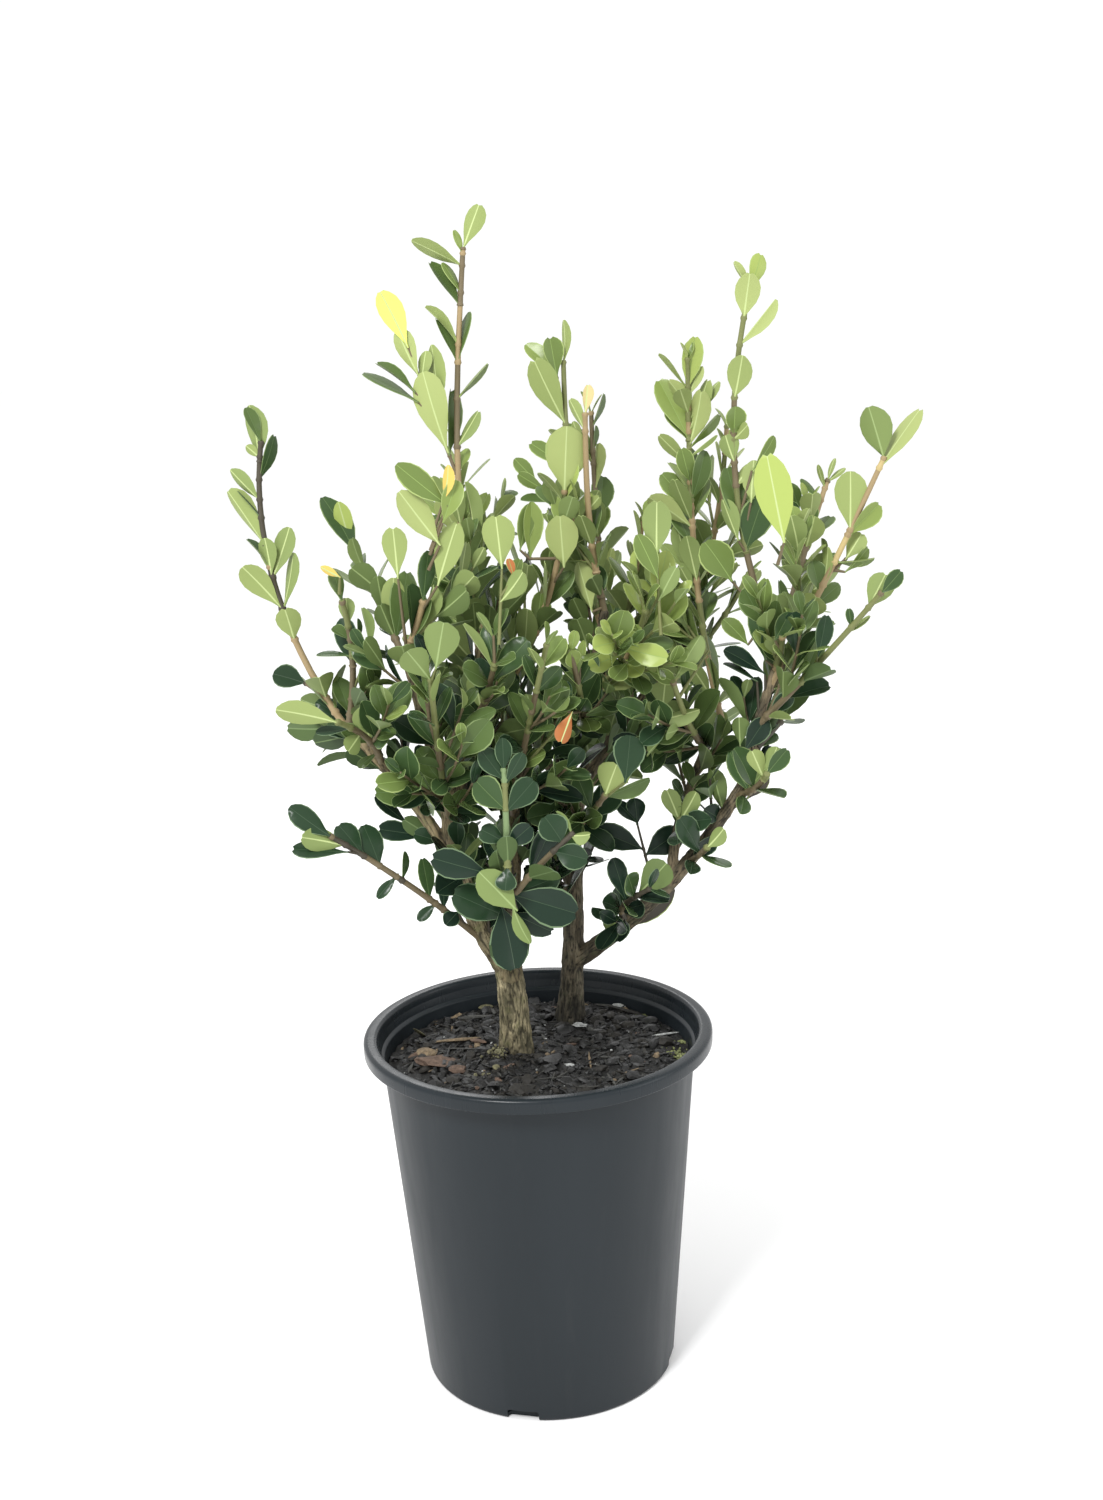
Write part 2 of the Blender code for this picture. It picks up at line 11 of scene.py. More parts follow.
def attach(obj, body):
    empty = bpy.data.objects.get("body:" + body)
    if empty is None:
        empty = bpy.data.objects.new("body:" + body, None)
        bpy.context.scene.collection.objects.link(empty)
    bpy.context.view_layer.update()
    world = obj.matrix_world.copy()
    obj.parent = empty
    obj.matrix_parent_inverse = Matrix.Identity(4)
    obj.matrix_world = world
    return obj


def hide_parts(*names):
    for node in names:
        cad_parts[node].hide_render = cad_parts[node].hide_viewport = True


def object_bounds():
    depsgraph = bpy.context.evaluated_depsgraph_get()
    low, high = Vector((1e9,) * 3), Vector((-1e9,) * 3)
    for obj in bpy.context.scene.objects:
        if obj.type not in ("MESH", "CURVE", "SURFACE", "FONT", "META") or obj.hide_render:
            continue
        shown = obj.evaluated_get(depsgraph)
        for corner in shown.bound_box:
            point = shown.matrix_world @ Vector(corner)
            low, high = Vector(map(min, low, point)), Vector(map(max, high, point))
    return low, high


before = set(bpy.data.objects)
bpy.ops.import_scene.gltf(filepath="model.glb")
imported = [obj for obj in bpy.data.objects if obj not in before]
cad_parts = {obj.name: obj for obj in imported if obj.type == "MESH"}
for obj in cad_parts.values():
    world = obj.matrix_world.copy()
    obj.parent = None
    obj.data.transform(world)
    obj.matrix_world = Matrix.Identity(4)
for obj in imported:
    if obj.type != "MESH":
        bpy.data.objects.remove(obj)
cad_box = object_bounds()


# The pot is a thin-walled round nursery pot of black polyethylene, blow moulded in one piece. Its rim rolls
# outward and down and is open below, a collar inside the rim lets empty pots nest, and four slots in the
# bottom edge let the water out.

MM = 0.001
POT_SIDES = 144
POT_HEIGHT = 170 * MM
RIM_RADIUS = 82.5 * MM
MOUTH_RADIUS = 75.3 * MM
WALL_TOP_RADIUS = 74 * MM
WALL_TOP = POT_HEIGHT - 8.5 * MM
BASE_RADIUS = 60.3 * MM
WALL = 1.5 * MM
FLOOR = 1.8 * MM
BEND_STEPS = 5
POINTS_APART = MM / 50
DRAIN_SLOTS = 4
DRAIN_DEPTH = 8 * MM
DRAIN_WIDTH = 15 * MM
DRAIN_HEIGHT = 5 * MM
DRAIN_CORNER = 1.4 * MM
FIRST_DRAIN = math.radians(-104)
POT_SMOOTHED_TO = math.radians(38)
POT_BLACK = (0.013, 0.017, 0.020)
POT_CLOUDS = [(0.3, (0.011, 0.015, 0.018)), (0.7, (0.016, 0.021, 0.025))]
POT_DUST = (0.050, 0.051, 0.049)
POT_GLOSS = 0.23
RIM_POLISH_FROM = 158 * MM
RIM_POLISH_TO = 163 * MM

# The corners of the pot's section, up the outside, over the rim and down the inside: the radius and height of
# each, and how far from it its bend starts.
POT_CORNERS = [
    (54 * MM, 0.9 * MM, 0),
    (56.5 * MM, 0, 1.2 * MM),
    (BASE_RADIUS - 0.1 * MM, 0, 2.2 * MM),
    (WALL_TOP_RADIUS, WALL_TOP, 1.5 * MM),
    (WALL_TOP_RADIUS + 1.9 * MM, POT_HEIGHT - 2.2 * MM, 0.8 * MM),
    (RIM_RADIUS - 1.8 * MM, POT_HEIGHT - 2.3 * MM, 0.6 * MM),
    (RIM_RADIUS - 1.7 * MM, POT_HEIGHT - 6.6 * MM, 0.4 * MM),
    (RIM_RADIUS - 0.2 * MM, POT_HEIGHT - 6.6 * MM, 0.6 * MM),
    (RIM_RADIUS, POT_HEIGHT, 2.3 * MM),
    (MOUTH_RADIUS + 0.9 * MM, POT_HEIGHT, 1.7 * MM),
    (MOUTH_RADIUS, POT_HEIGHT - 4 * MM, 1.2 * MM),
    (MOUTH_RADIUS - 0.6 * MM, WALL_TOP + 0.9 * MM, 0.6 * MM),
    (WALL_TOP_RADIUS - WALL, WALL_TOP - 0.4 * MM, 0.9 * MM),
    (BASE_RADIUS - WALL, FLOOR, 1.6 * MM),
    (50 * MM, FLOOR, 0),
]


def rounded(corners):
    """The points of a profile whose inner corners are bent round."""
    points = [Vector(corners[0][:2])]
    for before, (radius, height, reach), after in zip(corners, corners[1:], corners[2:]):
        corner = Vector((radius, height))
        back, ahead = Vector(before[:2]) - corner, Vector(after[:2]) - corner
        start = corner + back.normalized() * min(reach, back.length / 2)
        end = corner + ahead.normalized() * min(reach, ahead.length / 2)
        for k in range(BEND_STEPS + 1):
            t = k / BEND_STEPS
            point = start * (1 - t) ** 2 + corner * 2 * t * (1 - t) + end * t**2
            if (point - points[-1]).length > POINTS_APART:
                points.append(point)
    points.append(Vector(corners[-1][:2]))
    return points


def in_edit_mode(piece):
    """Select one piece alone and open its mesh for editing, with nothing in it selected."""
    bpy.ops.object.select_all(action="DESELECT")
    piece.select_set(True)
    bpy.context.view_layer.objects.active = piece
    bpy.ops.object.mode_set(mode="EDIT")
    bpy.ops.mesh.select_all(action="DESELECT")


def finish_modifiers(piece):
    """Apply all that is on a piece, in its order."""
    bpy.ops.object.select_all(action="DESELECT")
    piece.select_set(True)
    bpy.context.view_layer.objects.active = piece
    for modifier in list(piece.modifiers):
        bpy.ops.object.modifier_apply(modifier=modifier.name)


bpy.ops.object.select_all(action="DESELECT")
pot_line = rounded(POT_CORNERS)
bpy.ops.mesh.primitive_circle_add(vertices=POT_SIDES, radius=pot_line[0].x, fill_type="NGON")
pot = bpy.context.object
pot.name = "nursery_pot"
in_edit_mode(pot)
bpy.ops.mesh.select_mode(type="EDGE")
bpy.ops.mesh.select_all(action="SELECT")
bpy.ops.transform.translate(value=(0, 0, pot_line[0].y))
bpy.ops.mesh.region_to_loop()
for low, high in zip(pot_line, pot_line[1:]):
    bpy.ops.mesh.extrude_edges_move()
    bpy.ops.transform.translate(value=(0, 0, high.y - low.y))
    widen = high.x / low.x
    bpy.ops.transform.resize(value=(widen, widen, 1), center_override=(0, 0, 0))
bpy.ops.mesh.edge_face_add()
bpy.ops.mesh.select_all(action="SELECT")
bpy.ops.mesh.normals_make_consistent(inside=False)
bpy.ops.object.mode_set(mode="OBJECT")

for i in range(DRAIN_SLOTS):
    turn = FIRST_DRAIN + 2 * math.pi * i / DRAIN_SLOTS
    at = (BASE_RADIUS * math.cos(turn), BASE_RADIUS * math.sin(turn), 0)
    bpy.ops.mesh.primitive_cube_add(size=1, location=at, rotation=(0, 0, turn))
    slot_cutter = bpy.context.object
    slot_cutter.scale = (DRAIN_DEPTH, DRAIN_WIDTH, 2 * DRAIN_HEIGHT)
    bpy.ops.object.transform_apply(location=False, rotation=False, scale=True)
    soften = slot_cutter.modifiers.new("soften", "BEVEL")
    soften.width = DRAIN_CORNER
    soften.segments = 3
    finish_modifiers(slot_cutter)
    cut = pot.modifiers.new("drain", "BOOLEAN")
    cut.operation = "DIFFERENCE"
    cut.object = slot_cutter
    finish_modifiers(pot)
    bpy.data.objects.remove(slot_cutter, do_unlink=True)
bpy.ops.object.shade_smooth_by_angle(angle=POT_SMOOTHED_TO)


def new_finish(name, colour, roughness):
    """A Principled finish of one colour and one roughness, and its shader."""
    finish = bpy.data.materials.new(name)
    finish.use_nodes = True
    shader = finish.node_tree.nodes["Principled BSDF"]
    shader.inputs["Base Color"].default_value = (*colour, 1)
    shader.inputs["Roughness"].default_value = roughness
    return finish, shader


def wired(finish, value, shader, socket):
    """Link a value to one of the shader's sockets."""
    finish.node_tree.links.new(value, shader.inputs[socket])


def object_place(finish, stretch=(1, 1, 1)):
    """Object coordinates, scaled along each axis."""
    nodes, links = finish.node_tree.nodes, finish.node_tree.links
    coordinates = nodes.new("ShaderNodeTexCoord")
    mapping = nodes.new("ShaderNodeMapping")
    mapping.inputs["Scale"].default_value = stretch
    links.new(coordinates.outputs["Object"], mapping.inputs["Vector"])
    return mapping.outputs["Vector"]


def height_up(finish, place):
    """How high a place is."""
    axes = finish.node_tree.nodes.new("ShaderNodeSeparateXYZ")
    finish.node_tree.links.new(place, axes.inputs["Vector"])
    return axes.outputs["Z"]


def mottle(finish, place, scale, detail=4, roughness=0.55):
    """Noise of one scale, from 0 to 1."""
    spots = finish.node_tree.nodes.new("ShaderNodeTexNoise")
    spots.inputs["Scale"].default_value = scale
    spots.inputs["Detail"].default_value = detail
    spots.inputs["Roughness"].default_value = roughness
    finish.node_tree.links.new(place, spots.inputs["Vector"])
    return spots.outputs["Fac"]


def graded(finish, value, stops):
    """Colours that follow a value, each (position, colour)."""
    ramp = finish.node_tree.nodes.new("ShaderNodeValToRGB")
    while len(ramp.color_ramp.elements) < len(stops):
        ramp.color_ramp.elements.new(1)
    for element, (position, colour) in zip(ramp.color_ramp.elements, stops):
        element.position = position
        element.color = (*colour, 1)
    finish.node_tree.links.new(value, ramp.inputs["Fac"])
    return ramp.outputs["Color"]


def blended(finish, share, first, second):
    """Two colours mixed by a share, where each may be a plain colour or another node's."""
    mix = finish.node_tree.nodes.new("ShaderNodeMix")
    mix.data_type = "RGBA"
    colour_sockets = [socket for socket in mix.inputs if socket.type == "RGBA"]
    for socket, colour in zip(colour_sockets, (first, second)):
        if isinstance(colour, tuple):
            socket.default_value = (*colour, 1)
        else:
            finish.node_tree.links.new(colour, socket)
    finish.node_tree.links.new(share, mix.inputs[0])
    return next(socket for socket in mix.outputs if socket.type == "RGBA")


def ranged(finish, value, low, high, to_low=0, to_high=1):
    """A value moved from one range to another, and held inside it."""
    span = finish.node_tree.nodes.new("ShaderNodeMapRange")
    for name, number in (
        ("From Min", low), ("From Max", high), ("To Min", to_low), ("To Max", to_high)
    ):
        span.inputs[name].default_value = number
    finish.node_tree.links.new(value, span.inputs["Value"])
    return span.outputs["Result"]


def embossed(finish, height, strength, distance, under=None):
    """A bump of one height map, over another bump if one is given."""
    bump = finish.node_tree.nodes.new("ShaderNodeBump")
    bump.inputs["Strength"].default_value = strength
    bump.inputs["Distance"].default_value = distance
    finish.node_tree.links.new(height, bump.inputs["Height"])
    if under is not None:
        finish.node_tree.links.new(under, bump.inputs["Normal"])
    return bump.outputs["Normal"]


pot_plastic, shader = new_finish("pot_plastic", POT_BLACK, 0.34)
shader.inputs["Specular IOR Level"].default_value = POT_GLOSS
even = object_place(pot_plastic)
drawn = object_place(pot_plastic, (1, 1, 0.16))  # marks drawn out down the wall
clouds = graded(pot_plastic, mottle(pot_plastic, drawn, scale=22), POT_CLOUDS)
specks = mottle(pot_plastic, drawn, scale=60, detail=6, roughness=0.7)
dust = ranged(pot_plastic, specks, low=0.60, high=0.80, to_high=0.16)
wired(pot_plastic, blended(pot_plastic, dust, clouds, POT_DUST), shader, "Base Color")
rubs = mottle(pot_plastic, drawn, scale=90, detail=5, roughness=0.6)
rubbed = ranged(pot_plastic, rubs, low=0.3, high=0.7, to_low=0.38, to_high=0.50)
rim = ranged(pot_plastic, height_up(pot_plastic, even), RIM_POLISH_FROM, RIM_POLISH_TO, to_high=0.16)
polish = pot_plastic.node_tree.nodes.new("ShaderNodeMath")  # the rim is smoother than the wall
polish.operation = "SUBTRACT"
pot_plastic.node_tree.links.new(rubbed, polish.inputs[0])
pot_plastic.node_tree.links.new(rim, polish.inputs[1])
wired(pot_plastic, polish.outputs["Value"], shader, "Roughness")
waves = embossed(pot_plastic, mottle(pot_plastic, even, scale=14, detail=2), strength=0.25, distance=0.8 * MM)
pores = mottle(pot_plastic, even, scale=1100, detail=3)
grain = embossed(pot_plastic, pores, strength=0.12, distance=0.12 * MM, under=waves)
wired(pot_plastic, grain, shader, "Normal")
pot.data.materials.append(pot_plastic)
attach(pot, "root")
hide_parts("pot")


# The potting mix is shredded bark, dark where it is wet, that fills the pot to a finger below the rim. It
# sags towards the wall, and its body below the surface is a plain plug of the same mix.

SOIL_TOP = 157.7 * MM
SOIL_SAG = 2.2 * MM
SOIL_FLAT_RADIUS = 54 * MM
SOIL_RADIUS = 71.6 * MM
SOIL_CELLS = 170
SOIL_LUMPS = ((1.5, 11), (1.1, 4.5), (0.45, 1.9))  # the weight of each kind of lump, and its size in mm
LUMP_HEIGHT = 0.75  # mm
HEAP_HEIGHT = 1.6  # mm, against a trunk
HEAP_SPREAD = 1.5  # of the trunk's radius
SOIL_SETTLED = 0.6  # mm
SOIL_SKIRT = 152 * MM
SOIL_DEPTH = 149.5 * MM  # of the plug, below the skirt
SOIL_TAPER = 0.8
MIX_BROWN = (0.028, 0.020, 0.014)
MIX_CRUMBS = [(0.35, (0.002, 0.002, 0.002)), (0.55, (0.006, 0.0058, 0.005)), (0.72, (0.018, 0.0165, 0.013))]
TRUNK_FEET = ((-10 * MM, 3 * MM, 8.5 * MM), (16 * MM, 38 * MM, 7 * MM))


def soil_height(x, y):
    """The height of the surface of the mix."""
    radius = math.hypot(x, y)
    t = min(1, max(0, (radius - SOIL_FLAT_RADIUS) / (SOIL_RADIUS - SOIL_FLAT_RADIUS)))
    spot = Vector((x, y, 0)) / MM
    lumps = sum(weight * noise.noise(spot / size) for weight, size in SOIL_LUMPS)
    heap = 0
    for foot_x, foot_y, foot_radius in TRUNK_FEET:
        away = math.hypot(x - foot_x, y - foot_y) / (HEAP_SPREAD * foot_radius)
        heap += HEAP_HEIGHT * math.exp(-(away**2))
    return SOIL_TOP - SOIL_SAG * t * t * (3 - 2 * t) + (LUMP_HEIGHT * lumps + heap - SOIL_SETTLED) * MM


bpy.ops.object.select_all(action="DESELECT")
bpy.ops.mesh.primitive_grid_add(x_subdivisions=SOIL_CELLS, y_subdivisions=SOIL_CELLS, size=2)
soil = bpy.context.object
soil.name = "potting_mix"
for corner in soil.data.vertices:
    x, y = corner.co.x, corner.co.y
    x, y = x * math.sqrt(1 - y * y / 2) * SOIL_RADIUS, y * math.sqrt(1 - x * x / 2) * SOIL_RADIUS
    corner.co = (x, y, soil_height(x, y))
in_edit_mode(soil)
bpy.ops.mesh.select_mode(type="EDGE")
bpy.ops.mesh.select_all(action="SELECT")
bpy.ops.mesh.region_to_loop()
bpy.ops.mesh.extrude_edges_move()
bpy.ops.transform.resize(value=(1, 1, 0), center_override=(0, 0, SOIL_SKIRT))
bpy.ops.mesh.extrude_edges_move()
bpy.ops.transform.translate(value=(0, 0, -SOIL_DEPTH))
bpy.ops.transform.resize(value=(SOIL_TAPER, SOIL_TAPER, 1), center_override=(0, 0, 0))
bpy.ops.mesh.edge_face_add()
bpy.ops.mesh.select_all(action="SELECT")
bpy.ops.mesh.normals_make_consistent(inside=False)
bpy.ops.object.mode_set(mode="OBJECT")
bpy.ops.object.shade_smooth_by_angle(angle=math.radians(60))

wet_mix, shader = new_finish("wet_mix", MIX_BROWN, 0.8)
even = object_place(wet_mix)
crumbs = mottle(wet_mix, even, scale=420, detail=6, roughness=0.7)
wired(wet_mix, graded(wet_mix, crumbs, MIX_CRUMBS), shader, "Base Color")
damp = mottle(wet_mix, even, scale=260, detail=5)
wired(wet_mix, ranged(wet_mix, damp, low=0.35, high=0.65, to_low=0.45, to_high=0.9), shader, "Roughness")
rough = mottle(wet_mix, even, scale=520, detail=7, roughness=0.75)
wired(wet_mix, embossed(wet_mix, rough, strength=0.8, distance=0.8 * MM), shader, "Normal")
soil.data.materials.append(wet_mix)
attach(soil, "root")
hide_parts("soil")


# The loose bits on the mix: shreds and crumbs of bark, dark when wet and tan where they dried, one big flake
# of red-brown bark at the left with a pale splinter behind it, white grit, and cushions of moss by the right
# wall.

BITS_RADIUS = 69.5 * MM
WALL_RADIUS = 71.0 * MM  # inside the pot, where the mix meets the wall
SHREDS = 760
CLODS = 150
FIBRES = 70
CRUMBS = 850
GRIT = 36
BLACK_BARK, BROWN_BARK, RED_BARK, TAN_BARK, GREY_BARK, WHITE_GRIT, MOSS, DRY_GREEN = range(8)
BIT_LOOKS = (  # the name, colour and roughness of each kind, in their order
    ("bark_black", (0.0045, 0.0046, 0.0044), 0.46),
    ("bark_brown", (0.0125, 0.0108, 0.0078), 0.7),
    ("bark_red", (0.105, 0.068, 0.048), 0.85),
    ("bark_tan", (0.175, 0.130, 0.078), 0.8),
    ("bark_grey", (0.046, 0.046, 0.041), 0.7),
    ("white_grit", (0.34, 0.35, 0.34), 0.6),
    ("moss", (0.185, 0.205, 0.085), 0.9),
    ("dry_green", (0.130, 0.122, 0.064), 0.7),
)

# The larger bits, laid one by one: the size and place of each in mm, its yaw and tilts in degrees, how ragged
# it is, how far it is raised in mm, and its kind.
LAID_BITS = (
    ((23, 17, 5), (-47, -8), 15, (9, -6), 0.30, 1.6, RED_BARK),
    ((13, 9, 4), (-38, -18), 60, (12, 8), 0.30, 1.4, RED_BARK),
    ((10, 7, 4), (-53, 2), 20, (4, 9), 0.24, 1.4, TAN_BARK),
    ((20, 2.6, 1.4), (-39, 15), 18, (4, 0), 0.32, 2.4, TAN_BARK),
    ((8, 3.4, 2), (-29, 12), -20, (4, 0), 0.2, 2.0, RED_BARK),
    ((11, 7, 1.0), (-58, 27), 75, (38, 22), 0.05, 3.4, DRY_GREEN),
    ((14, 9, 4), (6, -13), 70, (5, 3), 0.2, 1.2, BLACK_BARK),
    ((13, 10, 5), (-8, -44), 30, (5, 8), 0.22, 1.2, BROWN_BARK),
    ((16, 3, 2), (-30, 45), 8, (2, 8), 0.25, 1.6, GREY_BARK),
    ((9, 2.2, 1.4), (-22, 50), 100, (2, 8), 0.15, 2.0, GREY_BARK),
    ((24, 6, 3), (-8, 58), -15, (3, 4), 0.15, 1.2, BROWN_BARK),
    ((22, 2.4, 1.4), (44, 48), -35, (3, 4), 0.15, 1.6, BROWN_BARK),
    ((18, 2.2, 1.4), (40, 60), -20, (3, 4), 0.12, 1.8, GREY_BARK),
    ((7, 3.0, 1.6), (47, 63), -30, (3, 14), 0.15, 2.2, WHITE_GRIT),
    ((15, 1.2, 0.9), (66, 17), 20, (3, 4), 0.12, 2.0, WHITE_GRIT),
    ((6.5, 3.4, 1.3), (21, 27), 10, (10, 22), 0.6, 2.0, WHITE_GRIT),
    ((7, 2.2, 1.4), (26, 21), -55, (3, 4), 0.3, 1.8, GREY_BARK),
    ((8, 4.5, 1.2), (-27, 66), 30, (3, 14), 0.12, 1.8, DRY_GREEN),
    ((4.5, 2.0, 0.9), (14, -20), -10, (3, 14), 0.35, 1.6, WHITE_GRIT),
    ((5, 3.4, 1.4), (-20, -20), 60, (3, 24), 0.15, 1.8, DRY_GREEN),
)

# Cushions of moss, and heaps of crumbs and dry litter at the left trunk's foot and by the front wall: where
# each is and how wide in mm, how many bits it has, how high they lie in mm, and their kind.
HEAPS = (
    (65, -6, 6, 60, 0.7, MOSS),
    (70, 9, 4, 34, 0.7, MOSS),
    (54, 44, 5, 26, 0.7, MOSS),
    (-27, -22, 4, 7, 0.7, DRY_GREEN),
    (-19, -5, 6, 90, 3.2, BROWN_BARK),
    (-19, -5, 5, 70, 4.2, DRY_GREEN),
    (-6, -8, 6, 40, 1.8, BROWN_BARK),
    (-18, -59, 8, 80, 2.2, BROWN_BARK),
    (-18, -60, 7, 24, 2.8, DRY_GREEN),
)


class JoinedMesh:
    """Many small closed shapes gathered into one mesh, each face with its own finish."""

    def __init__(self):
        self.corners = []
        self.faces = []
        self.finishes = []
        self.count = 0

    def add(self, corners, faces, finish):
        """Add a shape, with one finish for all its faces or a list of them."""
        self.corners.append(np.asarray(corners, dtype=np.float64))
        self.faces += [[index + self.count for index in face] for face in faces]
        self.finishes += list(finish) if isinstance(finish, (list, tuple)) else [finish] * len(faces)
        self.count += len(corners)

    def made(self, name, materials, smooth_angle=None):
        """The piece, smoothed where its faces meet at less than an angle."""
        mesh = bpy.data.meshes.new(name)
        mesh.from_pydata(np.concatenate(self.corners).tolist(), [], self.faces)
        for material in materials:
            mesh.materials.append(material)
        mesh.polygons.foreach_set("material_index", self.finishes)
        piece = bpy.data.objects.new(name, mesh)
        bpy.context.scene.collection.objects.link(piece)
        if smooth_angle is not None:
            mesh.shade_smooth()
            mesh.set_sharp_from_angle(angle=math.radians(smooth_angle))
        return piece


def ball(detail):
    """The corners and faces of a small ball, to be pulled into a crumb."""
    bpy.ops.object.select_all(action="DESELECT")
    bpy.ops.mesh.primitive_ico_sphere_add(subdivisions=detail, radius=1)
    made = bpy.context.object
    corners = np.array([corner.co[:] for corner in made.data.vertices])
    faces = [list(face.vertices) for face in made.data.polygons]
    bpy.data.objects.remove(made, do_unlink=True)
    return corners, faces


def turned_to(yaw, pitch, roll):
    """The matrix that turns a shape's own axes to a yaw, pitch and roll."""
    cy, sy, cp, sp, cr, sr = (f(a) for a in (yaw, pitch, roll) for f in (math.cos, math.sin))
    return (
        np.array([[cy, -sy, 0], [sy, cy, 0], [0, 0, 1]])
        @ np.array([[cp, 0, sp], [0, 1, 0], [-sp, 0, cp]])
        @ np.array([[1, 0, 0], [0, cr, -sr], [0, sr, cr]])
    )


def kept_in(corners):
    """A bit's corners, moved in where they would reach through the wall."""
    past = np.hypot(corners[:, 0], corners[:, 1]).max() - WALL_RADIUS
    middle = corners.mean(axis=0) * (1, 1, 0)
    return corners - middle / np.linalg.norm(middle) * max(0, past)


def bit(rng, shape, size, x, y, raised, tilt, ragged=0.25):
    """The corners and faces of a crumb or shred of the given size that lies on the mix."""
    corners, faces = shape
    pulled = corners * (1 + rng.uniform(-ragged, ragged, (len(corners), 1)))
    pulled = pulled * (np.array(size) / 2)
    tilts = np.radians(rng.uniform(-tilt, tilt, 2))
    pulled = pulled @ turned_to(rng.uniform(0, 2 * math.pi), tilts[0], tilts[1]).T
    return kept_in(pulled + np.array([x, y, soil_height(x, y) + raised])), faces


rng = np.random.default_rng(11)
small_ball, fine_ball = ball(1), ball(2)
bits = JoinedMesh()


def free_spot(spread=1.0):
    """A place on the mix clear of the trunks."""
    while True:
        radius, turn = BITS_RADIUS * math.sqrt(rng.uniform(0, 1)) * spread, rng.uniform(0, 2 * math.pi)
        x, y = radius * math.cos(turn), radius * math.sin(turn)
        if all(math.hypot(x - fx, y - fy) > fr for fx, fy, fr in TRUNK_FEET):
            return x, y


SHRED_KINDS = (BLACK_BARK, BROWN_BARK, RED_BARK, TAN_BARK, GREY_BARK)
SHRED_SHARES = (0.60, 0.25, 0.025, 0.025, 0.10)
for i in range(SHREDS):
    x, y = free_spot(0.97)
    length = rng.uniform(3, 10) * MM
    size = (length, rng.uniform(1.0, 3.4) * MM, rng.uniform(0.7, 2.0) * MM)
    kind = rng.choice(SHRED_KINDS, p=SHRED_SHARES)
    bits.add(*bit(rng, small_ball, size, x, y, 0.35 * MM, 26), int(kind))
for i in range(CLODS):
    x, y = free_spot(0.92)
    across = rng.uniform(4.5, 10.5) * MM
    size = (across, across * rng.uniform(0.5, 0.8), across * rng.uniform(0.35, 0.6))
    clod = bit(rng, fine_ball, size, x, y, 0.4 * MM, 30, 0.16)
    bits.add(*clod, int(rng.choice([BLACK_BARK, BROWN_BARK], p=[0.75, 0.25])))
for i in range(FIBRES):
    x, y = free_spot(0.88)
    size = (rng.uniform(8, 19) * MM, rng.uniform(0.7, 1.3) * MM, rng.uniform(0.5, 0.8) * MM)
    kind = rng.choice([BROWN_BARK, TAN_BARK, GREY_BARK, BLACK_BARK], p=[0.36, 0.06, 0.28, 0.30])
    bits.add(*bit(rng, fine_ball, size, x, y, 1.1 * MM, 9, 0.3), int(kind))
for i in range(CRUMBS):
    x, y = free_spot()
    across = rng.uniform(1.0, 4.2) * MM
    size = (across, across * rng.uniform(0.6, 1), across * rng.uniform(0.4, 0.8))
    kind = rng.choice([BLACK_BARK, BROWN_BARK, RED_BARK, TAN_BARK], p=[0.70, 0.25, 0.02, 0.03])
    bits.add(*bit(rng, small_ball, size, x, y, 0.2 * MM, 40), int(kind))
for i in range(GRIT):
    x, y = free_spot()
    across = rng.uniform(0.6, 1.4) * MM
    bits.add(*bit(rng, small_ball, (across, across, across * 0.8), x, y, 0.9 * MM, 40), WHITE_GRIT)

bit_finishes = []
for name, colour, roughness in BIT_LOOKS:
    finish, shader = new_finish(name, colour, roughness)
    even = object_place(finish)
    deep, pale = (tuple(value * share for value in colour) for share in (0.5, 1.6))
    shades = mottle(finish, even, scale=600, detail=5, roughness=0.65)
    wired(finish, graded(finish, shades, [(0.32, deep), (0.5, colour), (0.7, pale)]), shader, "Base Color")
    rough = mottle(finish, even, scale=750, detail=5, roughness=0.7)
    wired(finish, embossed(finish, rough, strength=0.7, distance=0.4 * MM), shader, "Normal")
    bit_finishes.append(finish)


def laid(size, at, yaw, tilt, ragged, raised):
    """The corners and faces of a single larger bit, turned as listed."""
    corners, faces = fine_ball
    pulled = corners * (1 + rng.uniform(-ragged, ragged, (len(corners), 1))) * (np.array(size) * MM / 2)
    pulled = pulled @ turned_to(math.radians(yaw), math.radians(tilt[0]), math.radians(tilt[1])).T
    x, y = at[0] * MM, at[1] * MM
    return kept_in(pulled + np.array([x, y, soil_height(x, y) + raised * MM])), faces


for *how, kind in LAID_BITS:
    bits.add(*laid(*how), kind)
for centre_x, centre_y, spread, count, high, kind in HEAPS:
    for i in range(count):
        x, y = (rng.normal(c, spread / 2) * MM for c in (centre_x, centre_y))
        if math.hypot(x, y) < BITS_RADIUS + 1.5 * MM:
            across = rng.uniform(0.9, 2.1) * MM
            raised = rng.uniform(0.3, high) * MM
            bits.add(*bit(rng, small_ball, (across, across, across * 0.8), x, y, raised, 40), kind)

loose_bits = bits.made("bark_bits", bit_finishes, 25)
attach(loose_bits, "root")


# The left plant's wood: a short thick trunk that flares into the mix and forks into a leaning left bough,
# with three boughs on it, a straight middle bough and a thin front one. The bark is tan, in ragged plates.

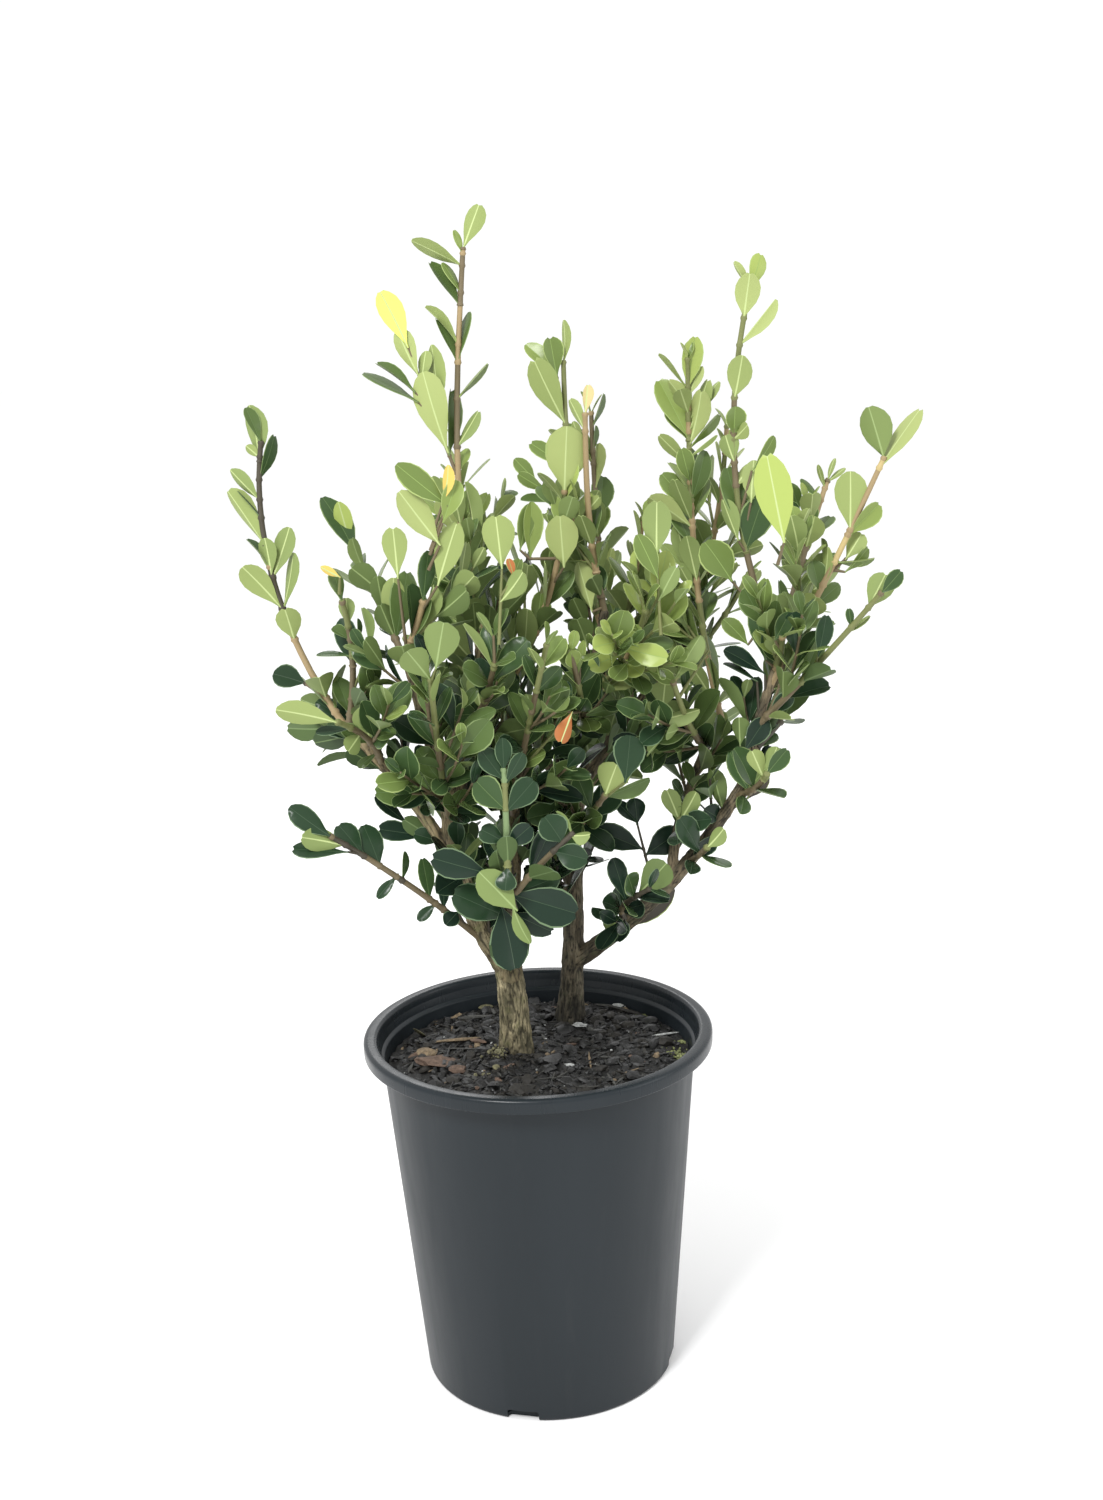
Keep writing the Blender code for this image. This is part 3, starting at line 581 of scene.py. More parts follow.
COURSE_STEPS = 24
FOOT_BELOW = 1.5 * MM  # how far below the top of the mix a trunk starts
FOOT_ADDED = 1.8  # mm, to a trunk's length for it
FLARE_DECAY = 9 * MM
LIMB_SIDES = 20
SKIN_ADDED = 0.12 * MM
EASINGS = 7
SAMPLES_ALONG = 90
SAMPLES_NEAR = 6
PLATE_WIDE, PLATE_LONG = 1.5, 9  # mm, of the bark's plates, round a limb and along it
KNOT_WIDE, KNOT_LONG = 3.2, 5
GRAIN_WIDE, GRAIN_LONG = 0.6, 2.2
CRACK_SHARPNESS = 4.2
DEEPEST_BARK = 0.8  # mm
FLUTES = 3
SCARS_APART = 10.5  # mm, of the ring scars on a young limb
SCARRED_BELOW = 4.2 * MM  # of a limb's radius
YOUNG_BELOW, AGED_OVER = 2, 4.5  # mm: a limb's radius where it starts to look old, and over how much

# A trunk: its foot, its heading, rise, curl and sway in degrees, its length, its radius at the foot and at
# the tip, and its flare. A bough: what carries it, how far up that as a share, and then the same but for a
# flare. Lengths are in mm. The angles and lengths of all limbs are a least-squares fit to a few points each,
# read off the photograph where it shows them, with guessed depths.
LEFT_TRUNK = ("trunk_left", (-10, 3), (-127, 89, -10, 10), 44, 7.1, 6.4, 1.9)
LEFT_BOUGHS = {
    "bough_left": ("trunk_left", 0.93, (-148, 55, 35, 0), 94, 5.0, 3.7),
    "bough_middle": ("trunk_left", 0.97, (42, 79, 5, 85), 130, 3.8, 2.3),
    "bough_front": ("trunk_left", 0.90, (-83, 46, 10, -10), 79, 2.9, 1.8),
    "bough_low_left": ("bough_left", 0.62, (191, 67, -25, -35), 87, 3.1, 1.9),
    "bough_left_outer": ("bough_left", 0.97, (-131, 73, 5, -25), 74, 2.9, 1.9),
    "bough_left_inner": ("bough_left", 0.97, (7, 63, 5, 95), 74, 3.3, 2.0),
}


def toward(heading, rise):
    """The unit vector at a heading from +X and a rise from level, in degrees."""
    turn, lift = math.radians(heading), math.radians(rise)
    return Vector((math.cos(lift) * math.cos(turn), math.cos(lift) * math.sin(turn), math.sin(lift)))


def course(foot, angles, length, steps=COURSE_STEPS):
    """The points of a limb from its foot, whose heading and rise drift evenly on the way to its tip."""
    heading, rise, curl, sway = angles
    points = [Vector(foot)]
    for i in range(steps):
        t = (i + 0.5) / steps
        points.append(points[-1] + toward(heading + sway * t, rise + curl * t) * (length / steps))
    return points


def place(points, share):
    """The point and direction at a share of a course's length."""
    reach = min(share, 0.9999) * (len(points) - 1)
    i = int(reach)
    step = points[i + 1] - points[i]
    return points[i] + step * (reach - i), step.normalized()


def sides_of(points):
    """A steady pair of side vectors at each point, carried along so that a tube doesn't twist."""
    side = Vector((1, 0, 0))
    found = []
    for i in range(len(points)):
        along = (points[min(i + 1, len(points) - 1)] - points[max(i - 1, 0)]).normalized()
        side = (side - along * side.dot(along)).normalized()
        found.append((side.copy(), along.cross(side)))
    return found


def tube(points, radii, sides):
    """The corners and faces of a closed tube through points."""
    corners = []
    for point, radius, (u, v) in zip(points, radii, sides_of(points)):
        for k in range(sides):
            turn = 2 * math.pi * k / sides
            corners.append(point + (u * math.cos(turn) + v * math.sin(turn)) * radius)
    faces = []
    for ring in range(len(points) - 1):
        low, high = ring * sides, (ring + 1) * sides
        for k in range(sides):
            faces.append([low + k - 1 + sides * (k == 0), low + k, high + k, high + k - 1 + sides * (k == 0)])
    faces.append(list(range(sides))[::-1])
    faces.append([(len(points) - 1) * sides + k for k in range(sides)])
    return corners, faces


class Limb:
    """A trunk, a bough or a spray's stem: its course and its radius along it."""

    def __init__(self, foot, angles, length, foot_radius, tip_radius, flare=0):
        self.points = course(foot, angles, length * MM)
        self.length = length * MM
        self.foot_radius, self.tip_radius, self.flare = foot_radius * MM, tip_radius * MM, flare * MM

    def radius(self, share):
        """How thick it is at a share of its length."""
        taper = self.foot_radius + (self.tip_radius - self.foot_radius) * share
        return taper + self.flare * math.exp(-share * self.length / FLARE_DECAY)

    def tube(self, sides, grown=0):
        """Its closed tube, made thicker by some, with a blunt tip."""
        count = len(self.points) - 1
        end = place(self.points, 1)[1]
        points = self.points + [self.points[-1] + end * (0.5 * self.tip_radius + grown)]
        radii = [self.radius(i / count) + grown for i in range(count + 1)]
        return tube(points, radii + [0.6 * self.tip_radius + grown], sides)


limbs = {}


def grow_limbs(trunk, boughs):
    """Work out the courses of one trunk and the boughs that it carries."""
    name, foot, angles, length, foot_radius, tip_radius, flare = trunk
    at = (foot[0] * MM, foot[1] * MM, SOIL_TOP - FOOT_BELOW)
    limbs[name] = Limb(at, angles, length + FOOT_ADDED, foot_radius, tip_radius, flare)
    for name, (carrier, share, angles, length, foot_radius, tip_radius) in boughs.items():
        at = place(limbs[carrier].points, share)[0]
        limbs[name] = Limb(at, angles, length, foot_radius, tip_radius)


def bark_noise(round_mm, along_mm, wide, long, shift):
    """Noise over a limb's surface, of one size round the limb and one along it."""
    x, y, z = round_mm.x / wide + shift[0], round_mm.y / wide + shift[1], along_mm / long + shift[2]
    return noise.noise(Vector((x, y, z)))


def bark_relief(limb, out, side, other_side, along_mm, radius, seed):
    """How far the bark stands out at a place on a limb, in mm, and how cracked it is there."""
    round_mm = Vector((out.dot(side), out.dot(other_side))) * radius / MM
    ridge = bark_noise(round_mm, along_mm, PLATE_WIDE, PLATE_LONG, (seed, 0, 0))
    knot = bark_noise(round_mm, along_mm, KNOT_WIDE, KNOT_LONG, (0, seed, 0))
    grain = bark_noise(round_mm, along_mm, GRAIN_WIDE, GRAIN_LONG, (0, 0, seed))
    crack = max(0, 1 - CRACK_SHARPNESS * abs(ridge)) ** 1.5
    depth = min(DEEPEST_BARK, 0.078 * radius / MM + 0.09)
    flute = 0.05 * math.cos(FLUTES * math.atan2(out.dot(other_side), out.dot(side)) + seed) * radius / MM
    flute *= 0.4 + 2.2 * math.exp(-along_mm / 12) if limb.flare else 0.3
    scar = 0
    if radius < SCARRED_BELOW:
        scar = math.exp(-((((along_mm + seed * 3) % SCARS_APART) - 5) / 0.9) ** 2)
    lift = depth * (0.75 * knot + 0.3 * grain - 0.9 * crack) + flute + 0.22 * scar
    return lift, crack * 0.8 + max(0, -grain) * 0.5


def wooden(name, names, voxel, seed):
    """Limbs melted into one skin, so that each fork is a smooth saddle, with the bark's relief on it."""
    joined = JoinedMesh()
    for limb_name in names:
        corners, faces = limbs[limb_name].tube(LIMB_SIDES, SKIN_ADDED)
        joined.add([corner[:] for corner in corners], faces, 0)
    wood = joined.made(name, [])
    melt = wood.modifiers.new("melt", "REMESH")
    melt.mode = "VOXEL"
    melt.voxel_size = voxel
    ease = wood.modifiers.new("ease", "SMOOTH")
    ease.iterations = EASINGS
    ease.factor = 0.5
    finish_modifiers(wood)
    samples = [(limbs[n], k / SAMPLES_ALONG) for n in names for k in range(SAMPLES_ALONG + 1)]
    tree = KDTree(len(samples))
    spots = [place(limb.points, share) for limb, share in samples]
    for i, (spot, along) in enumerate(spots):
        tree.insert(spot, i)
    tree.balance()
    sides = {id(limbs[n]): sides_of(limbs[n].points) for n in names}
    mesh = wood.data
    moved, cracks, ages = [], [], []
    for corner in mesh.vertices:
        near = min(
            tree.find_n(corner.co, SAMPLES_NEAR),
            key=lambda hit: hit[2] / samples[hit[1]][0].radius(samples[hit[1]][1]),
        )
        limb, share = samples[near[1]]
        spot, along = spots[near[1]]
        radius = limb.radius(share)
        along_mm = share * limb.length / MM + (corner.co - spot).dot(along) / MM
        out = (corner.co - spot).normalized()
        side, other_side = sides[id(limb)][round(share * COURSE_STEPS)]
        lift, crack = bark_relief(limb, out, side, other_side, along_mm, radius, seed)
        moved.append(corner.co + corner.normal * (lift * MM))
        cracks.append(crack)
        ages.append(min(1, max(0, (radius / MM - YOUNG_BELOW) / AGED_OVER)))
    mesh.vertices.foreach_set("co", [value for point in moved for value in point])
    for attribute, values in (("crack", cracks), ("age", ages)):
        mesh.attributes.new(attribute, "FLOAT", "POINT").data.foreach_set("value", values)
    mesh.shade_smooth()
    mesh.update()
    return wood


def surface_value(finish, name):
    """A value that a mesh holds at each corner."""
    attribute = finish.node_tree.nodes.new("ShaderNodeAttribute")
    attribute.attribute_name = name
    return attribute.outputs["Fac"]


def bark_finish(name, pale, dark, crack_and_shade_colour, fleck_colour, young):
    """Ragged pale plates over darker bark, with flecks of algae, browner and smoother on younger limbs."""
    finish, shader = new_finish(name, pale, 0.85)
    shader.inputs["Specular IOR Level"].default_value = 0.3
    even = object_place(finish)
    upright = object_place(finish, (1, 1, 0.3))
    blotches = object_place(finish, (1, 1, 0.55))
    middle = tuple((a + b) / 2 for a, b in zip(pale, dark))
    plates = mottle(finish, upright, scale=210, detail=7, roughness=0.72)
    plated = graded(finish, plates, [(0.42, dark), (0.52, middle), (0.60, pale)])
    streaks = mottle(finish, upright, scale=240, detail=6, roughness=0.7)
    youth = graded(finish, streaks, [(0.38, young[0]), (0.62, young[1])])
    look = blended(finish, surface_value(finish, "age"), youth, plated)
    patches = mottle(finish, blotches, scale=75, roughness=0.6)
    look = blended(finish, ranged(finish, patches, low=0.47, high=0.62, to_high=0.6), look, dark)
    flecks = mottle(finish, even, scale=170, roughness=0.6)
    look = blended(finish, ranged(finish, flecks, low=0.54, high=0.66, to_high=0.6), look, fleck_colour)
    # The cracks are darkened: partly the bark's own darker fissures, partly painted shade in the recesses.
    crack = ranged(finish, surface_value(finish, "crack"), low=0.12, high=0.75, to_high=0.85)
    look = blended(finish, crack, look, crack_and_shade_colour)
    # The bark grows darker towards the mix at a trunk's foot.
    darker_to_mix = ranged(finish, height_up(finish, even), SOIL_TOP + 15 * MM, SOIL_TOP - 1 * MM, to_high=0.8)
    wired(finish, blended(finish, darker_to_mix, look, crack_and_shade_colour), shader, "Base Color")
    fibres = mottle(finish, upright, scale=700, detail=6, roughness=0.75)
    wired(finish, embossed(finish, fibres, strength=0.8, distance=0.45 * MM), shader, "Normal")
    return finish


grow_limbs(LEFT_TRUNK, LEFT_BOUGHS)
left_names = ["trunk_left", *LEFT_BOUGHS]
left_wood = wooden("left_wood", left_names, 0.45 * MM, 2.7)
tan_bark = bark_finish(
    "tan_bark", pale=(0.49, 0.42, 0.255), dark=(0.072, 0.066, 0.037), crack_and_shade_colour=(0.028, 0.024, 0.015),
    fleck_colour=(0.150, 0.155, 0.062), young=((0.110, 0.088, 0.048), (0.30, 0.235, 0.130)),
)
left_wood.data.materials.append(tan_bark)
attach(left_wood, "root")
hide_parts(*left_names)


# The right plant's wood stands behind: a slimmer, darker trunk that leans left, a long bough that leaves it
# low and sweeps up to the right with a top and an inner bough on it, a centre bough, and three boughs behind.

RIGHT_TRUNK = ("trunk_right", (16, 38), (-65, 80, 15, 40), 138, 5.9, 3.4, 2.2)
RIGHT_BOUGHS = {
    "bough_right": ("trunk_right", 0.24, (-24, 35, 25, -5), 135, 4.6, 2.5),
    "bough_right_top": ("bough_right", 0.99, (-8, 80, -15, 35), 59, 2.4, 1.8),
    "bough_right_inner": ("bough_right", 0.52, (21, 86, -40, 20), 82, 2.6, 1.8),
    "bough_centre": ("trunk_right", 0.97, (-21, 69, 5, -30), 77, 3.0, 2.0),
    "bough_back": ("trunk_right", 0.62, (82, 40, 35, -35), 110, 2.9, 1.8),
    "bough_back_left": ("trunk_right", 0.75, (116, 53, 5, 30), 95, 2.7, 1.8),
    "bough_back_right": ("trunk_right", 0.80, (52, 43, 5, -45), 100, 2.6, 1.8),
}
grow_limbs(RIGHT_TRUNK, RIGHT_BOUGHS)
right_names = ["trunk_right", *RIGHT_BOUGHS]
right_wood = wooden("right_wood", right_names, 0.48 * MM, 5.3)
brown_bark = bark_finish(
    "brown_bark", pale=(0.195, 0.172, 0.120), dark=(0.028, 0.027, 0.020), crack_and_shade_colour=(0.014, 0.013, 0.011),
    fleck_colour=(0.085, 0.090, 0.050), young=((0.085, 0.070, 0.042), (0.23, 0.180, 0.110)),
)
right_wood.data.materials.append(brown_bark)
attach(right_wood, "root")
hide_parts(*right_names)


# The sprays: leafy shoots on the boughs, whose leaves stand in opposite pairs, each pair a right angle on
# from the last, with side twigs in the axils of some. Low shoots are dark green and the top growth is pale:
# partly the leaves' own greens, partly painted shade low in the plant and painted light at its top.

# Each shoot: what carries it and how far up that, its stem's heading, rise, curl and sway in degrees and its
# length in mm, its green, how far up it the rule's leaves go, how many axils bear a side twig, and its seed.
# The angles and lengths were fitted as the limbs' were, but for the eight sprays at the back, spray_front_low
# and spray_low_centre. Most of the last three columns were picked by a search, which tried values and kept
# those whose leaves best cover the plant's outline in the photograph.
SHOOTS = {
    "spray_left_tall": ("bough_left_inner", 1.00, (143, 79, 5, -130), 187, "light", 0.3, 0.4, 13),
    "spray_left_centre": ("bough_left_outer", 1.00, (-20, 62, 30, -20), 74, "light", 0.7, 0.45, 24),
    "spray_left_small": ("bough_low_left", 0.97, (-48, 70, -5, -85), 85, "middle", 0.4, 0.9, 12),
    "spray_left_upper": ("bough_left_outer", 0.90, (115, 39, 10, 10), 97, "middle", 0.7, 0.0, 4),
    "spray_far_left": ("bough_low_left", 1.00, (146, 48, 55, 20), 140, "middle", 0.12, 0.0, 26),
    "spray_low_left": ("bough_left", 0.16, (-142, 46, -10, -15), 118, "dark", 0.12, 0.0, 23),
    "spray_left_low_front": ("bough_low_left", 0.72, (-91, 46, -30, -65), 68, "middle", 0.3, 0.4, 4),
    "spray_left_low_back": ("bough_low_left", 0.85, (117, 29, -20, 15), 72, "dark", 0.3, 0.4, 20),
    "spray_left_dark": ("bough_low_left", 0.20, (125, 1, 20, 5), 47, "dark", 0.3, 0.0, 25),
    "spray_front": ("bough_front", 1.00, (-86, 72, 25, 0), 61, "dark", 0.12, 0.4, 8),
    "spray_front_right": ("bough_front", 0.80, (-54, 51, -10, 55), 53, "dark", 0.35, 0.4, 20),
    "spray_front_low": ("bough_front", 0.45, (-125, 8, -25, 0), 30, "dark", 0.0, 0.0, 1),
    "spray_low_centre": ("bough_left", 0.10, (-118, 40, 15, 0), 52, "dark", 0.0, 0.0, 1),
    "spray_between": ("trunk_right", 0.42, (-106, 51, -20, 0), 56, "dark", 1.0, 0.9, 3),
    "spray_left_front": ("bough_left", 0.90, (-93, 41, 35, 0), 103, "middle", 1.0, 0.9, 17),
    "spray_left_inner_front": ("bough_left_inner", 0.50, (-83, 27, 40, 25), 65, "middle", 1.0, 0.9, 11),
    "spray_middle": ("bough_middle", 1.00, (-4, 54, 40, -25), 119, "light", 1.0, 0.9, 11),
    "spray_middle_front": ("bough_middle", 0.55, (-85, 42, 20, 20), 119, "middle", 1.0, 0.9, 22),
    "spray_centre_top": ("bough_centre", 0.90, (129, 64, 20, -50), 137, "light", 0.4, 0.9, 1),
    "spray_centre": ("bough_centre", 1.00, (-154, 77, 10, 95), 104, "light", 0.4, 0.9, 1),
    "spray_right_inner": ("bough_right_inner", 1.00, (137, 73, 20, -55), 169, "light", 1.0, 0.9, 10),
    "spray_right_tall": ("bough_right_top", 1.00, (148, 67, 40, 55), 174, "light", 0.12, 0.0, 9),
    "spray_far_right": ("bough_right_top", 0.75, (-4, 61, 5, -5), 123, "light", 0.3, 0.4, 5),
    "spray_right_upper": ("bough_right_top", 0.95, (64, 53, 5, -20), 99, "light", 0.7, 0.9, 9),
    "spray_right_outer": ("bough_right_top", 0.45, (-37, 44, 5, 0), 93, "middle", 0.4, 0.45, 16),
    "spray_right_dark": ("bough_right_top", 0.20, (51, 22, -5, 0), 77, "dark", 0.4, 0.9, 26),
    "spray_right_front": ("bough_right", 0.93, (-68, 17, 35, -25), 71, "middle", 0.4, 0.0, 2),
    "spray_inner_front": ("bough_right_inner", 0.30, (-91, 23, 30, 0), 66, "middle", 0.4, 0.0, 4),
    "spray_right_low": ("bough_right", 0.28, (-118, 36, -5, 80), 53, "dark", 1.0, 0.45, 1),
    "spray_right_mid": ("bough_right", 0.62, (-76, 23, 20, -5), 66, "middle", 0.4, 0.0, 2),
    "spray_centre_right": ("bough_centre", 0.50, (-67, 13, 60, -10), 122, "light", 0.7, 0.9, 17),
    "spray_right_bright": ("bough_right_top", 0.90, (-85, 33, 45, -35), 99, "light", 0.4, 0.9, 25),
    "spray_centre_low": ("trunk_right", 0.72, (-81, 22, 15, 10), 78, "middle", 0.4, 0.9, 22),
    "spray_right_centre": ("bough_right_inner", 0.80, (-106, 20, 45, -10), 103, "middle", 0.4, 0.9, 22),
    "spray_centre_front": ("bough_centre", 0.25, (-84, 12, 40, -20), 94, "middle", 1.0, 0.9, 12),
    "spray_back": ("bough_back", 1.00, (95, 70, 20, 10), 120, "light", 1.0, 0.8, 3),
    "spray_back_left": ("bough_back_left", 1.00, (125, 58, 25, -30), 105, "light", 1.0, 0.8, 17),
    "spray_back_right": ("bough_back_right", 1.00, (40, 60, 25, 0), 110, "light", 1.0, 0.5, 17),
    "spray_back_low": ("bough_back", 0.50, (80, 22, 30, 0), 72, "middle", 1.0, 0.8, 13),
    "spray_back_outer_left": ("bough_back_left", 0.50, (155, 30, 30, 0), 85, "middle", 1.0, 0.8, 5),
    "spray_back_outer_right": ("bough_back_right", 0.60, (8, 32, 30, 0), 88, "middle", 1.0, 0.5, 7),
    "spray_back_inner": ("bough_back", 0.80, (-40, 62, 20, 0), 95, "light", 1.0, 0.8, 17),
    "spray_back_middle": ("bough_back_left", 0.80, (20, 62, 20, 0), 95, "light", 1.0, 0.8, 4),
}
STEM_FOOT = 1.6  # mm of radius
STEM_TIP = 0.7
TWIG_FOOT = 0.85 * MM
TWIG_TIP = 0.5 * MM
TWIG_STEPS = 5
TWIG_SHORTEST = 13 * MM
TWIG_LONGEST = 44 * MM
TWIG_SHARE = (0.4, 0.7)  # a side twig's length as a share of what is left of its stem
TWIG_LIFT = 30
TWIG_SHORTER = 0.7  # the second try, where the first has no room
FORKS_FROM = 22 * MM
AXIL_ANGLE = 14
FIRST_LEAVES = 7 * MM
FIRST_TWIG_LEAVES = 5.5 * MM
LAST_LEAVES = 1.0 * MM  # below the tip
STEM_SPACING = 12 * MM
TWIG_SPACING = 9.6 * MM
LEAF_LENGTH = 22.5 * MM
LEAF_WIDTH = 0.53  # of its length
LEAF_ROOT = 0.3 * MM  # how far a leaf's root passes the middle of its twig
LEAF_TURN = 16
LEAF_LIFT = 42
LEAF_LIFT_LOSS = 0.45
LEAF_ROLL = 38
TIP_LEAF = 0.5
CLOSING_FROM, CLOSING_OVER = 0.55, 0.45  # of a shoot, where its leaves grow smaller
LEAF_CLEAR = 0.12 * MM
LEAF_TRIES = ((0, 1), (-14, 1), (16, 0.9), (-22, 0.8), (5, 0.65))  # more lift, and what share of the size
WEDGE = ((0, 0), (0.3, -0.3), (0.66, -0.5), (0.97, -0.24), (0.97, 0.24), (0.66, 0.5), (0.3, 0.3))
WEDGE_RIDGE = 0.06  # of the leaf's length
ROOM_PLACES = 9000

# What shows in the photograph is placed by its pixels, sighted from where the camera that took it stood.
# That is a least-squares fit to the pot's edges in the photograph: the rim's and the wall's sides as a
# brightness threshold finds them, and the foot and the rim's front as read off it.
PHOTO_WIDE, PHOTO_HIGH = 1103, 1500
LENS = 42  # mm, for a frame 36 mm high
FOCUS = LENS / 36 * PHOTO_HIGH  # the same in pixels
EYE = Vector((0, -0.7771, 0.4866))
PITCH, YAW, ROLL = (math.radians(angle) for angle in (13.194, 0.863, -2.275))
level = Vector((math.cos(YAW), -math.sin(YAW), 0))
ahead = Vector((math.sin(YAW) * math.cos(PITCH), math.cos(YAW) * math.cos(PITCH), -math.sin(PITCH)))
above = Vector((math.sin(YAW) * math.sin(PITCH), math.cos(YAW) * math.sin(PITCH), math.cos(PITCH)))
right = level * math.cos(ROLL) + above * math.sin(ROLL)
up = above * math.cos(ROLL) - level * math.sin(ROLL)
SIGHTINGS = 240
SPUR_FROM = 4.5  # pixels from its carrier, past which a leaf stands on a spur of its own
SPUR_RISE = 7 * MM
SPUR_AHEAD = 1.5 * MM
SMALL_LEAF = 16 * MM
LEAF_NARROWEST, LEAF_WIDEST, SMALL_LEAF_WIDEST = 0.42, 0.72, 0.95  # of its length
EDGE_ON = 0.12

# Side twigs that show: the carrier of each, the pixels of its foot and tip, and how far it leans forward.
TWIGS_SEEN = {
    "left_tall_side": ("spray_left_tall", (457, 478), (407, 345), 8),
    "centre_top_side": ("spray_centre_top", (565, 425), (556, 372), 5),
    "centre_top_low": ("spray_centre_top", (573, 520), (535, 480), 0),
    "far_right_side": ("spray_far_right", (828, 575), (858, 548), 0),
    "front_left_leaf": ("bough_front", (508, 885), (490, 873), 5),
    "right_low_up": ("bough_right", (650, 890), (636, 822), 15),
    "inner_front_top": ("spray_left_inner_front", (500, 645), (502, 568), 0),
    "right_centre_top": ("spray_right_centre", (661, 635), (656, 556), 5),
    "right_centre_low": ("spray_right_centre", (688, 722), (661, 708), 12),
    "right_tall_low": ("spray_right_tall", (754, 625), (730, 580), 5),
    "middle_side": ("spray_middle", (563, 560), (505, 560), 10),
    "right_stub_high": ("spray_right_centre", (681, 697), (709, 650), 0),
    "right_stub_low": ("spray_right_centre", (676, 682), (704, 640), 5),
}
